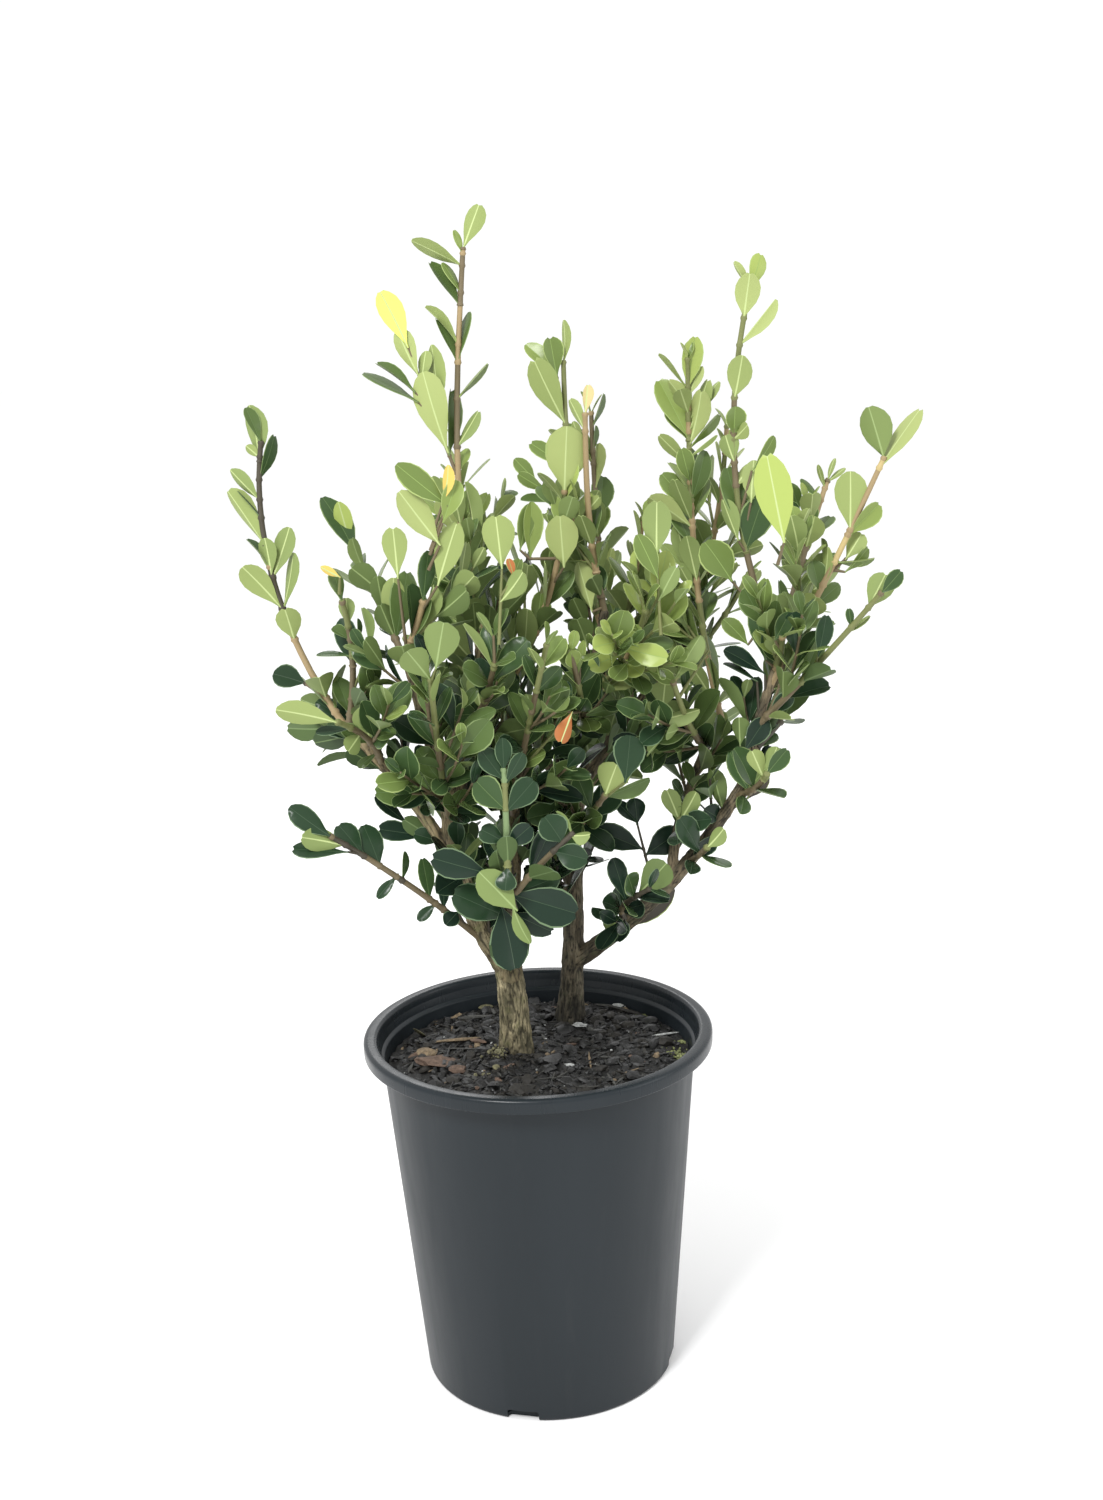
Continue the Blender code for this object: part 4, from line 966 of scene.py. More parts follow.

# Leaves that show, by what carries them: the pixels of the foot and the tip, how many pixels wide it looks,
# the side that shows, how far that is turned aside and leans forward in degrees, and its shade or tint. A
# shade holds the leaf's own green together with painted light and shade, as bright or as dark as it is lit.
LEAVES_SEEN = {
    "spray_left_tall": (
        ((461, 250), (479, 205), 20, "under", 20, 0, 3),
        ((460, 252), (453, 231), 8, "upper", 40, 10, 3),
        ((458, 266), (413, 238), 12, "under", 50, 0, 3),
        ((458, 305), (428, 262), 14, "upper", 50, 0, 1),
        ((459, 292), (446, 262), 8, "upper", 58, 10, 2),
        ((458, 345), (433, 303), 7, "under", 62, 0, 3),
        ((457, 362), (437, 318), 11, "upper", 50, 0, 1),
        ((458, 362), (467, 311), 8, "upper", -58, 0, 1),
        ((457, 400), (485, 360), 3, "upper", 78, 0, 2),
        ((458, 448), (481, 411), 12, "under", 50, 0, 2),
        ((476, 548), (473, 482), 11, "under", 55, 5, 2),
    ),
    "left_tall_side": (
        ((447, 453), (420, 378), 34, "under", 10, 15, 4),
        ((408, 347), (384, 293), 26, "under", 10, 5, "yellow"),
        ((418, 378), (395, 331), 20, "under", 20, 5, 4),
        ((420, 385), (424, 350), 14, "under", 40, 0, 3),
        ((438, 412), (438, 345), 14, "under", 50, 0, 3),
        ((415, 392), (378, 358), 5, "upper", 68, 0, 1),
        ((418, 402), (364, 370), 6, "upper", 66, 0, 1),
        ((450, 455), (447, 388), 7, "upper", 62, -5, 1),
    ),
    "spray_far_left": (
        ((264, 462), (256, 406), 22, "under", 30, 0, 3),
        ((262, 443), (249, 408), 14, "upper", 35, 12, 2),
        ((261, 458), (247, 445), 10, "under", 30, 0, 4),
        ((262, 480), (281, 437), 13, "upper", 45, 0, 1),
        ((260, 500), (229, 470), 12, "under", 40, 0, 3),
        ((262, 518), (241, 488), 5, "upper", 70, 0, 0),
        ((264, 545), (229, 489), 12, "under", 48, 0, 4),
        ((269, 568), (251, 535), 6, "upper", 66, 0, 1),
        ((275, 578), (292, 528), 18, "under", 25, 0, 3),
        ((274, 575), (268, 538), 18, "under", 25, 12, 3),
        ((283, 608), (247, 565), 26, "under", 8, 8, 4),
        ((285, 610), (300, 554), 9, "under", 58, 0, 3),
        ((294, 640), (288, 610), 28, "under", 8, 32, 4),
        ((327, 698), (320, 672), 42, "under", 5, 48, 3),
    ),
    "spray_left_upper": (
        ((353, 556), (328, 492), 22, "upper", 30, 0, 1),
        ((350, 540), (340, 502), 18, "under", 15, 15, "lime"),
        ((411, 672), (405, 648), 42, "under", 5, 48, 2),
        ((392, 630), (394, 578), 24, "under", 5, 10, 4),
        ((395, 640), (408, 570), 24, "upper", 20, 0, 2),
        ((381, 592), (352, 567), 27, "under", 8, 12, 1),
    ),
    "spray_left_small": (
        ((340, 577), (320, 567), 8, "under", 30, 0, "gold"),
        ((344, 602), (335, 570), 14, "upper", 50, 0, 2),
        ((348, 640), (331, 628), 12, "upper", 45, 0, 2),
        ((352, 656), (316, 651), 6, "upper", 62, 0, 1),
        ((350, 700), (383, 694), 14, "upper", 40, 0, 1),
        ((351, 626), (347, 597), 17, "under", 10, 10, 3),
        ((358, 642), (361, 618), 5, "upper", 60, 0, 1),
        ((369, 652), (370, 607), 6, "under", 60, 0, 2),
    ),
    "centre_top_side": (
        ((556, 374), (527, 341), 18, "upper", 20, 0, 3),
        ((556, 378), (549, 338), 21, "upper", 20, 8, 2),
    ),
    "spray_centre_top": (
        ((563, 362), (571, 322), 8, "under", 58, 0, 3),
        ((565, 425), (531, 363), 26, "under", 12, 12, 3),
        ((567, 470), (530, 440), 14, "upper", 40, -5, 2),
    ),
    "spray_centre": (
        ((585, 415), (588, 384), 9, "under", 30, 0, "straw"),
        ((585, 432), (570, 398), 12, "under", 38, 0, 3),
        ((592, 612), (578, 562), 20, "under", 28, 5, 4),
    ),
    "spray_back": (
        ((591, 428), (604, 393), 5, "upper", 74, 0, 1),
        ((592, 452), (597, 425), 6, "upper", 60, 0, 1),
        ((596, 520), (607, 475), 25, "upper", 10, 0, 1),
        ((594, 492), (596, 442), 8, "under", 58, 0, 4),
        ((604, 582), (616, 549), 10, "under", 48, 0, 4),
    ),
    "spray_middle": (
        ((563, 492), (566, 428), 44, "under", 5, 12, 4),
        ((564, 567), (559, 516), 34, "under", 5, 15, 4),
    ),
    "centre_top_low": (
        ((535, 482), (514, 458), 15, "upper", 30, 0, 2),
        ((545, 492), (517, 475), 14, "upper", 20, 10, 2),
        ((555, 505), (520, 500), 6, "upper", 60, 0, 1),
    ),
    "spray_right_inner": (
        ((687, 388), (692, 337), 20, "upper", 10, 5, 4),
        ((687, 396), (702, 366), 11, "under", 42, 0, 4),
        ((687, 440), (659, 379), 25, "upper", 20, 5, 3),
        ((687, 408), (672, 378), 14, "under", 30, 0, 4),
        ((687, 388), (656, 355), 4, "under", 76, 0, 3),
        ((688, 432), (710, 381), 13, "under", 48, 8, 3),
        ((689, 446), (706, 393), 22, "under", 20, 12, 4),
        ((688, 420), (721, 383), 5, "under", 68, 0, 3),
        ((689, 448), (718, 412), 6, "upper", 62, 0, 2),
        ((689, 458), (715, 432), 5, "under", 68, 0, 2),
        ((689, 466), (659, 434), 10, "under", 42, 0, 3),
        ((689, 482), (680, 450), 19, "upper", 12, 18, 2),
        ((691, 508), (662, 472), 22, "upper", 20, 0, 2),
        ((692, 528), (650, 494), 20, "under", 20, 8, 4),
        ((690, 500), (699, 447), 10, "upper", 50, 0, 1),
        ((690, 500), (709, 453), 17, "upper", 28, 10, 1),
        ((694, 582), (686, 536), 22, "under", 10, 5, 2),
        ((716, 700), (711, 656), 9, "under", 55, 0, 1),
        ((721, 700), (708, 632), 5, "upper", 72, 0, 1),
    ),
    "spray_right_tall": (
        ((749, 290), (765, 253), 18, "upper", 20, 0, 4),
        ((749, 286), (731, 263), 7, "under", 52, 0, 4),
        ((744, 318), (748, 275), 26, "under", 8, 12, 4),
        ((740, 345), (776, 299), 8, "under", 58, 0, 4),
        ((737, 397), (742, 358), 26, "under", 8, 22, 3),
        ((735, 434), (734, 408), 22, "upper", 20, 20, 2),
        ((734, 440), (748, 429), 14, "under", 35, 45, 3),
        ((734, 462), (723, 436), 21, "under", 18, 12, 2),
        ((736, 485), (752, 462), 14, "under", 30, 0, 3),
        ((745, 552), (757, 498), 31, "upper", 6, 8, 1),
        ((738, 540), (722, 498), 18, "under", 38, 0, 2),
        ((752, 470), (779, 440), 9, "upper", 40, 5, 2),
        ((751, 502), (752, 460), 22, "under", 12, 5, 3),
        ((741, 530), (727, 466), 26, "upper", 14, 5, 1),
        ((750, 548), (761, 498), 34, "upper", 6, 12, 0),
    ),
    "spray_right_bright": (
        ((765, 660), (755, 607), 20, "upper", 12, 5, 0),
        ((775, 640), (790, 612), 18, "upper", 12, 5, 0),
        ((784, 542), (764, 456), 26, "under", 8, 12, "lime"),
    ),
    "spray_far_right": (
        ((882, 457), (868, 407), 32, "under", 12, 8, 1),
        ((878, 468), (920, 407), 12, "under", 52, 0, 4),
        ((848, 530), (850, 472), 34, "under", 8, 8, 3),
        ((847, 534), (879, 504), 20, "upper", 28, 0, 3),
        ((833, 562), (875, 561), 5, "upper", 72, 0, 2),
        ((822, 585), (833, 548), 10, "under", 45, 0, 3),
        ((822, 592), (812, 560), 20, "upper", 20, 0, 1),
        ((806, 622), (816, 596), 27, "under", 8, 30, 3),
        ((812, 608), (840, 583), 18, "upper", 20, 0, 1),
    ),
    "spray_right_upper": (
        ((824, 488), (818, 464), 5, "under", 58, 0, 3),
        ((827, 480), (834, 457), 4, "under", 60, 0, 3),
        ((826, 482), (846, 468), 6, "under", 58, 0, 3),
        ((819, 500), (801, 478), 5, "upper", 60, 0, 1),
        ((805, 548), (813, 518), 28, "under", 8, 32, 3),
        ((812, 530), (808, 503), 18, "upper", 12, 10, 1),
        ((805, 545), (787, 503), 15, "upper", 20, 0, 1),
        ((798, 572), (788, 540), 12, "upper", 40, 0, 1),
        ((790, 605), (815, 596), 14, "under", 20, 30, 3),
        ((799, 510), (790, 483), 15, "upper", 20, 5, 1),
        ((800, 520), (786, 503), 16, "upper", 20, 15, 0),
    ),
    "far_right_side": (
        ((846, 560), (862, 533), 20, "under", 20, 5, 3),
        ((845, 572), (872, 550), 12, "upper", 40, 0, 2),
    ),
    "spray_right_outer": (
        ((867, 607), (884, 574), 28, "under", 8, 15, 3),
        ((880, 592), (901, 571), 17, "upper", 10, 12, 1),
        ((850, 626), (849, 608), 9, "upper", 20, 10, 1),
        ((845, 632), (872, 620), 5, "under", 60, 0, 3),
        ((765, 712), (790, 692), 18, "upper", 10, 10, 0),
        ((818, 656), (827, 615), 18, "upper", 20, 8, 0),
    ),
    "spray_low_left": (
        ((332, 836), (288, 808), 24, "upper", 15, 0, 1),
        ((345, 847), (302, 834), 25, "under", 5, 12, 4),
        ((348, 852), (292, 848), 15, "upper", 42, 0, 1),
        ((365, 855), (340, 822), 24, "upper", 18, 0, 1),
        ((380, 866), (367, 824), 26, "upper", 15, 8, 1),
        ((395, 878), (376, 897), 12, "upper", 28, 10, 1),
        ((402, 880), (410, 852), 7, "upper", 50, 0, 2),
        ((431, 897), (424, 857), 13, "upper", 28, 5, 2),
        ((436, 903), (418, 921), 12, "upper", 12, 10, 1),
        ((445, 908), (445, 880), 11, "upper", 20, 0, 0),
        ((458, 912), (446, 924), 18, "upper", 10, 40, 0),
    ),
    "spray_left_dark": (
        ((408, 822), (374, 797), 14, "upper", 38, 0, 0),
        ((430, 836), (378, 828), 18, "upper", 18, 5, 0),
        ((441, 841), (415, 833), 18, "upper", 12, 20, 1),
    ),
    "spray_left_low_back": (
        ((306, 683), (273, 672), 26, "upper", 10, 0, 1),
        ((350, 727), (318, 698), 24, "upper", 18, 0, 1),
    ),
    "spray_left_low_front": (
        ((338, 722), (278, 705), 18, "under", 22, 5, 4),
        ((350, 730), (316, 735), 9, "upper", 50, 0, 0),
        ((370, 742), (363, 706), 32, "under", 8, 12, 3),
        ((360, 734), (350, 752), 20, "under", 20, 35, 3),
        ((378, 752), (358, 768), 9, "upper", 30, 10, 2),
    ),
    "spray_front": (
        ((517, 910), (480, 871), 34, "under", 5, 8, 3),
        ((513, 907), (524, 945), 15, "under", 34, 8, 3),
        ((511, 866), (505, 889), 22, "upper", 10, 20, 1),
        ((505, 780), (480, 749), 24, "upper", 12, 5, 1),
        ((505, 785), (523, 752), 16, "upper", 28, 5, 1),
        ((504, 770), (503, 738), 18, "upper", 12, 10, 1),
        ((505, 810), (474, 781), 31, "upper", 5, 8, 2),
        ((506, 812), (535, 781), 28, "upper", 5, 8, 1),
        ((507, 843), (481, 827), 21, "upper", 15, 12, 1),
        ((507, 846), (532, 825), 23, "upper", 10, 10, 0),
    ),
    "spray_front_right": (
        ((562, 842), (546, 815), 32, "upper", 8, 15, 1),
        ((570, 835), (591, 838), 14, "under", 38, 10, 4),
        ((571, 833), (561, 808), 6, "under", 55, 0, 3),
        ((553, 850), (588, 858), 27, "upper", 8, 12, 1),
    ),
    "front_left_leaf": (
        ((491, 873), (432, 858), 31, "upper", -14, 8, 0),
    ),
    "bough_front": (
        ((507, 918), (461, 892), 36, "upper", 5, 34, 1),
        ((507, 918), (537, 883), 34, "upper", 8, 12, 0),
        ((512, 893), (577, 914), 41, "upper", 8, 5, 0),
        ((501, 905), (519, 968), 42, "upper", 8, 12, 0),
        ((514, 912), (553, 934), 23, "upper", 14, 0, 0),
    ),
    "spray_centre_low": (
        ((606, 796), (617, 762), 34, "under", 4, 12, 4),
        ((605, 797), (652, 783), 11, "upper", 45, 0, 2),
        ((598, 803), (630, 745), 30, "upper", 8, 0, 0),
        ((590, 810), (575, 775), 24, "upper", 15, 5, 1),
        ((625, 782), (632, 735), 36, "upper", 8, 0, 0),
    ),
    "spray_right_low": (
        ((636, 893), (666, 862), 38, "under", 5, 10, 2),
        ((626, 902), (614, 858), 21, "upper", 18, 5, 0),
    ),
    "bough_right": (
        ((622, 927), (676, 889), 13, "upper", 64, 0, "brown"),
        ((612, 938), (616, 911), 31, "under", 5, 20, 2),
        ((718, 818), (703, 808), 22, "upper", 8, 30, 0),
        ((722, 812), (710, 768), 19, "under", 20, 8, 2),
        ((745, 800), (771, 775), 13, "upper", 45, 0, "brown"),
    ),
    "right_low_up": (
        ((641, 850), (594, 828), 26, "upper", 8, 0, 0),
        ((642, 856), (682, 829), 29, "upper", 8, 0, 0),
        ((636, 822), (618, 800), 14, "upper", 30, 10, 0),
        ((637, 824), (636, 797), 20, "upper", 12, 0, 0),
    ),
    "spray_inner_front": (
        ((679, 822), (667, 788), 19, "under", 10, 18, 3),
        ((680, 820), (698, 791), 18, "under", 12, 15, 3),
    ),
    "spray_right_mid": (
        ((705, 846), (726, 829), 17, "under", 18, 10, 3),
    ),
    "spray_right_front": (
        ((763, 778), (750, 748), 18, "under", 10, 15, 4),
        ((764, 777), (776, 747), 18, "under", 10, 15, 3),
        ((768, 775), (787, 748), 19, "upper", 18, 0, 1),
        ((748, 790), (727, 752), 17, "upper", 20, 0, 1),
    ),
    "spray_left_centre": (
        ((440, 545), (399, 493), 29, "under", 8, 10, 4),
        ((447, 505), (396, 466), 26, "upper", 28, 5, 2),
        ((444, 500), (453, 466), 13, "under", 35, 0, "gold"),
        ((443, 522), (458, 481), 22, "upper", 8, 10, 3),
        ((438, 585), (456, 522), 28, "under", 8, 8, 3),
        ((398, 578), (394, 527), 26, "under", 5, 6, 3),
        ((425, 602), (428, 550), 17, "upper", 25, 5, 0),
    ),
    "spray_left_front": (
        ((432, 680), (408, 650), 36, "under", 5, 30, 2),
        ((436, 668), (445, 622), 40, "under", 8, 25, 2),
    ),
    "inner_front_top": (
        ((502, 568), (496, 516), 34, "under", 5, 12, 4),
        ((501, 602), (528, 574), 22, "under", 18, 15, 3),
        ((514, 578), (510, 558), 9, "upper", 20, 10, "orange"),
    ),
    "right_centre_top": (
        ((656, 556), (656, 501), 30, "under", 8, 5, 3),
        ((656, 578), (638, 534), 22, "upper", 12, 10, 3),
        ((657, 600), (676, 566), 18, "under", 25, 10, 2),
    ),
    "right_centre_low": (
        ((662, 710), (664, 681), 29, "under", 5, 20, 3),
        ((665, 716), (638, 708), 18, "under", 18, 10, 3),
        ((652, 722), (700, 712), 14, "under", 40, 5, 3),
    ),
    "right_tall_low": (
        ((730, 582), (706, 541), 36, "upper", 5, 10, 2),
        ((748, 645), (726, 617), 18, "upper", 20, 5, 2),
    ),
    "middle_side": (
        ((530, 560), (532, 503), 12, "upper", 30, 10, 3),
        ((520, 550), (530, 504), 15, "upper", 20, 5, 2),
    ),
    "spray_left_inner_front": (
        ((493, 668), (462, 625), 5, "under", 68, 10, 3),
        ((482, 710), (474, 672), 24, "under", 12, 15, 3),
    ),
    "spray_middle_front": (
        ((536, 692), (562, 668), 20, "upper", 28, 10, 1),
        ((527, 722), (530, 693), 20, "under", 28, 20, 2),
        ((572, 712), (560, 744), 17, "under", 20, 12, "orange"),
    ),
    "bough_centre": (
        ((588, 648), (578, 618), 34, "under", 8, 30, 2),
    ),
    "spray_centre_front": (
        ((575, 682), (568, 645), 22, "under", 18, 12, 2),
        ((583, 716), (622, 707), 12, "upper", 38, 10, 2),
    ),
    "spray_centre_right": (
        ((597, 692), (632, 670), 20, "under", 25, 12, 3),
        ((590, 690), (583, 662), 16, "under", 30, 12, 3),
        ((604, 690), (637, 672), 24, "under", 20, 25, 4),
    ),
    "spray_right_centre": (
        ((676, 682), (698, 634), 17, "under", 35, 5, 2),
    ),
    "bough_right_top": (
        ((745, 750), (765, 718), 24, "upper", 8, 10, 0),
        ((740, 745), (738, 716), 18, "under", 18, 10, 2),
        ((765, 674), (726, 647), 17, "upper", 25, 10, 0),
        ((757, 681), (723, 662), 6, "upper", 65, 10, 1),
    ),
}


class Room:
    """The room that leaves, twigs and limbs have taken."""

    def __init__(self):
        self.keys, self.trees = [], []
        self.middles, self.reaches = np.zeros((ROOM_PLACES, 3)), np.zeros(ROOM_PLACES)

    @staticmethod
    def ball(corners):
        """The middle and the radius of a ball round a shape."""
        middle = sum(corners, Vector()) / len(corners)
        return middle, max((corner - middle).length for corner in corners)

    def take(self, key, corners, faces):
        """Fill a shape's room, under the key of what it belongs to."""
        middle, reach = self.ball(corners)
        self.middles[len(self.keys)], self.reaches[len(self.keys)] = middle, reach
        self.keys.append(key)
        self.trees.append(BVHTree.FromPolygons(corners, faces))

    def is_free(self, corners, faces, joined):
        """Whether a shape touches only the pieces that it is joined to, and stays in the plant's box."""
        for corner in corners:
            if not all(low < value < high for low, value, high in zip(cad_box[0], corner, cad_box[1])):
                return False
        middle, reach = self.ball(corners)
        count = len(self.keys)
        apart = np.linalg.norm(self.middles[:count] - np.array(middle), axis=1)
        tree = BVHTree.FromPolygons(corners, faces)
        return not any(
            self.keys[i] not in joined and tree.overlap(self.trees[i])
            for i in np.nonzero(apart < self.reaches[:count] + reach)[0]
        )


def leaf_wedge(root, direction, face, length, width):
    """A leaf's room: a thin wedge over its outline."""
    across = face.cross(direction)
    start = root - direction * LEAF_ROOT
    corners = [start + direction * (length * x) + across * (width * y) for x, y in WEDGE]
    corners.append(start + direction * (length * 0.5) + face * (WEDGE_RIDGE * length))
    count = len(WEDGE)
    return corners, [(i, (i + 1) % count, count) for i in range(count)] + [tuple(range(count))[::-1]]


def clear_of(corners, by):
    """A shape's corners pushed out from its middle, so that a test leaves some clearance."""
    middle = sum(corners, Vector()) / len(corners)
    return [corner + (corner - middle).normalized() * by for corner in corners]


def leaf_pairs(rng, points, length, first, spacing):
    """Opposite leaves along a twig, each pair turned a right angle on from the last, closing at the tip."""
    turn = rng.uniform(0, 180)
    span = length - first - LAST_LEAVES
    count = max(1, round(span / spacing))
    for i in range(count + 1):
        share = (first + span * i / count) / length
        at, along = place(points, share)
        around = turn + 90 * i + rng.uniform(-LEAF_TURN, LEAF_TURN)
        closing = max(0, (share - CLOSING_FROM) / CLOSING_OVER)
        swell = 1 - (1 - TIP_LEAF) * closing**1.6
        lift = LEAF_LIFT * (1 - LEAF_LIFT_LOSS * share) + rng.uniform(-9, 9)
        size = LEAF_LENGTH * swell * rng.uniform(0.78, 1.12)
        for half in (0, 180):
            own_lift, own_size = lift + rng.uniform(-8, 8), size * rng.uniform(0.92, 1.08)
            yield i, share, at, along, around + half, own_lift, own_size


def leaf_set(at, along, around, lift, roll):
    """The direction and the upper face of a leaf that leaves its twig at a lift, rolled about its middle."""
    side = along.orthogonal().normalized()
    cross = along.cross(side)
    out = side * math.cos(math.radians(around)) + cross * math.sin(math.radians(around))
    direction = along * math.cos(math.radians(lift)) + out * math.sin(math.radians(lift))
    face = (along - direction * along.dot(direction)).normalized()
    tilt = math.radians(roll)
    return direction, face * math.cos(tilt) + direction.cross(face) * math.sin(tilt)


room = Room()
leaves = []  # root, direction, face, length, width, green, and its shade or how high on the shoot it is
twigs = []  # points, foot radius, tip radius, finish and the shares of its leaves
joints = {}  # how far up each stem its leaves are


def dress(rng, name, twig, points, length, first, spacing, green, height, leafy_to=1.0):
    """Set the leaves of one twig, and return the axils that a side twig could grow from."""
    axils = []
    for i, share, at, along, around, lift, size in leaf_pairs(rng, points, length, first, spacing):
        if share > leafy_to:
            break
        roll = rng.uniform(-LEAF_ROLL, LEAF_ROLL)
        width = size * LEAF_WIDTH * rng.uniform(0.80, 1.14)
        for more_lift, shrink in LEAF_TRIES:
            direction, face = leaf_set(at, along, around, lift + more_lift, roll)
            corners, faces = leaf_wedge(at, direction, face, size * shrink, width * shrink)
            if room.is_free(clear_of(corners, LEAF_CLEAR), faces, {(name, twig), (name, twig, i)}):
                room.take((name, twig, i), corners, faces)
                high = height[0] + (height[1] - height[0]) * share
                leaves.append((at, direction, face, size * shrink, width * shrink, green, high))
                joints.setdefault((name, twig), []).append(share)
                break
        axils.append((i, share, at, along, around, direction))
    return axils


def side_twigs(rng, name, twig, limb_length, axils, green, height, chance, highest, depth):
    """Short twigs from the axils of some leaves, with leaves of their own, and finer twigs on those."""
    for number, (i, share, at, along, around, below) in enumerate(axils):
        if share > highest or rng.random() > chance:
            continue
        lift = TWIG_LIFT + rng.uniform(-8, 8)
        direction = leaf_set(at, along, around + rng.uniform(-20, 20), lift, 0)[0]
        if direction.angle(below) < math.radians(AXIL_ANGLE):
            continue
        heading = math.degrees(math.atan2(direction.y, direction.x))
        rise = math.degrees(math.asin(direction.z))
        length = limb_length * (1 - share) * rng.uniform(*TWIG_SHARE)
        length = min(TWIG_LONGEST, max(TWIG_SHORTEST, length))
        for reach in (length, TWIG_SHORTER * length):
            points = course(at, (heading, rise, rng.uniform(5, 25), 0), reach, TWIG_STEPS)
            corners, faces = tube(points, [TWIG_FOOT] * TWIG_STEPS + [TWIG_TIP], 3)
            key = ("twig", twig, number)
            if room.is_free(clear_of(corners, LEAF_CLEAR), faces, {(name, twig), (name, twig, i)}):
                room.take((name, key), corners, faces)
                top = height[0] + (height[1] - height[0]) * min(1, share + 0.25)
                high = (top, top)
                on_twig = dress(rng, name, key, points, reach, FIRST_TWIG_LEAVES, TWIG_SPACING, green, high)
                bark = {"dark": "dark", "middle": "brown", "light": "olive"}[green]
                if (name, key) in joints:
                    twigs.append((points, TWIG_FOOT, TWIG_TIP, bark, joints[name, key]))
                if depth and reach > FORKS_FROM:
                    side_twigs(rng, name, key, reach, on_twig, green, high, chance * 0.45, 0.6, depth - 1)
                break


stems = {}
for name, (carrier, share, angles, length, *_) in SHOOTS.items():
    stems[name] = Limb(place(limbs[carrier].points, share)[0], angles, length, STEM_FOOT, STEM_TIP)
for name, limb in limbs.items():
    room.take(("wood", name), *limb.tube(8))
for name, stem in stems.items():
    room.take((name, "stem"), *stem.tube(6))


def sighted(point):
    """The pixel where a point shows in the photograph, and how far ahead of the camera it is."""
    step = point - EYE
    deep = step.dot(ahead)
    return PHOTO_WIDE / 2 + FOCUS * step.dot(right) / deep, PHOTO_HIGH / 2 - FOCUS * step.dot(up) / deep, deep


def behind(pixel, deep):
    """The point that shows at a pixel and is so far ahead of the camera."""
    x, y = pixel
    return EYE + (ahead + right * ((x - PHOTO_WIDE / 2) / FOCUS) - up * ((y - PHOTO_HIGH / 2) / FOCUS)) * deep


def nearest_on(points, pixel):
    """How many pixels a course passes from a pixel, and how far up the course that is."""
    return min(
        (math.dist(sighted(place(points, k / SIGHTINGS)[0])[:2], pixel), k / SIGHTINGS)
        for k in range(SIGHTINGS + 1)
    )


# The twigs and leaves that show come first, and the rule's leaves then fill the room that is left.
carriers = {name: limb.points for name, limb in {**limbs, **stems}.items()}
kinds = {name: SHOOTS[name][4] if name in SHOOTS else "dark" for name in carriers}
thickness = {name: limb.radius for name, limb in {**limbs, **stems}.items()}


def add_seen_twig(name, carrier, foot, tip):
    """A straight side twig between two points."""
    points = [foot.lerp(tip, k / TWIG_STEPS) for k in range(TWIG_STEPS + 1)]
    carriers[name] = points
    kinds[name] = kinds[carrier]
    bark = {"dark": "dark", "middle": "olive", "light": "brown"}[kinds[name]]
    joints[name, "stem"] = []
    twigs.append((points, TWIG_FOOT, TWIG_TIP, bark, joints[name, "stem"]))
    room.take((name, "twig"), *tube(points, [TWIG_FOOT] * TWIG_STEPS + [TWIG_TIP], 3))


def add_seen_leaf(carrier, foot, tip, wide, shown, turn, lean, shade):
    """A leaf between two pixels, as deep as its carrier, or as its spur where it stands off the carrier."""
    points = carriers[carrier]
    aside, share = nearest_on(points, foot)
    at, along = place(points, share)
    deep = sighted(at)[2]
    if aside > SPUR_FROM:
        spur = f"{carrier}_spur_{len(twigs)}"
        length = (points[-1] - points[0]).length
        low = max(0.02, share - min(0.12, SPUR_RISE / length) * aside / 6)
        stout = thickness[carrier](share) if carrier in thickness else 0
        end = behind(foot, deep - SPUR_AHEAD - stout)
        add_seen_twig(spur, carrier, place(points, low)[0], end)
        carrier, share, at, along = spur, 1, end, (end - place(points, low)[0]).normalized()
        deep = sighted(at)[2]
    reach = behind(tip, deep) - at
    slant = math.radians(lean)
    direction = (reach.normalized() * math.cos(slant) - ahead * math.sin(slant)).normalized()
    length = reach.length / math.cos(slant)
    front = EYE - at
    front = (front - direction * front.dot(direction)).normalized()
    tilt = math.radians(turn if shown == "upper" else 180 - turn)
    face = front * math.cos(tilt) + direction.cross(front) * math.sin(tilt)
    width = wide * deep / FOCUS / max(EDGE_ON, abs(math.cos(tilt)))
    widest = LEAF_WIDEST if length > SMALL_LEAF else SMALL_LEAF_WIDEST
    width = min(max(width, LEAF_NARROWEST * length), widest * length)
    radius = thickness[carrier](share) if carrier in thickness else TWIG_FOOT
    root = at + Vector((0, -1, 0)) * (radius * direction.dot(along) ** 2)
    room.take((carrier, "seen"), *leaf_wedge(root, direction, face, length, width))
    leaves.append((root, direction, face, length, width, kinds[carrier], shade))
    joints.setdefault((carrier, "stem"), []).append(share)


for name, (carrier, foot, tip, lean) in TWIGS_SEEN.items():
    start = place(carriers[carrier], nearest_on(carriers[carrier], foot)[1])[0]
    reach = behind(tip, sighted(start)[2]) - start
    add_seen_twig(name, carrier, start, start + reach - ahead * (reach.length * math.tan(math.radians(lean))))
for carrier, rows in LEAVES_SEEN.items():
    for row in rows:
        add_seen_leaf(carrier, *row)


def grow_spray(name, seed):
    """One spray's own leaves, and its side twigs with theirs."""
    rng = random.Random(seed)
    green, leafy_to, twiggy = SHOOTS[name][4:7]
    points, length, height = stems[name].points, stems[name].length, (0.1, 1.0)
    axils = dress(rng, name, "stem", points, length, FIRST_LEAVES, STEM_SPACING, green, height, leafy_to)
    side_twigs(rng, name, "stem", length, axils, green, height, twiggy, 0.82, 1)


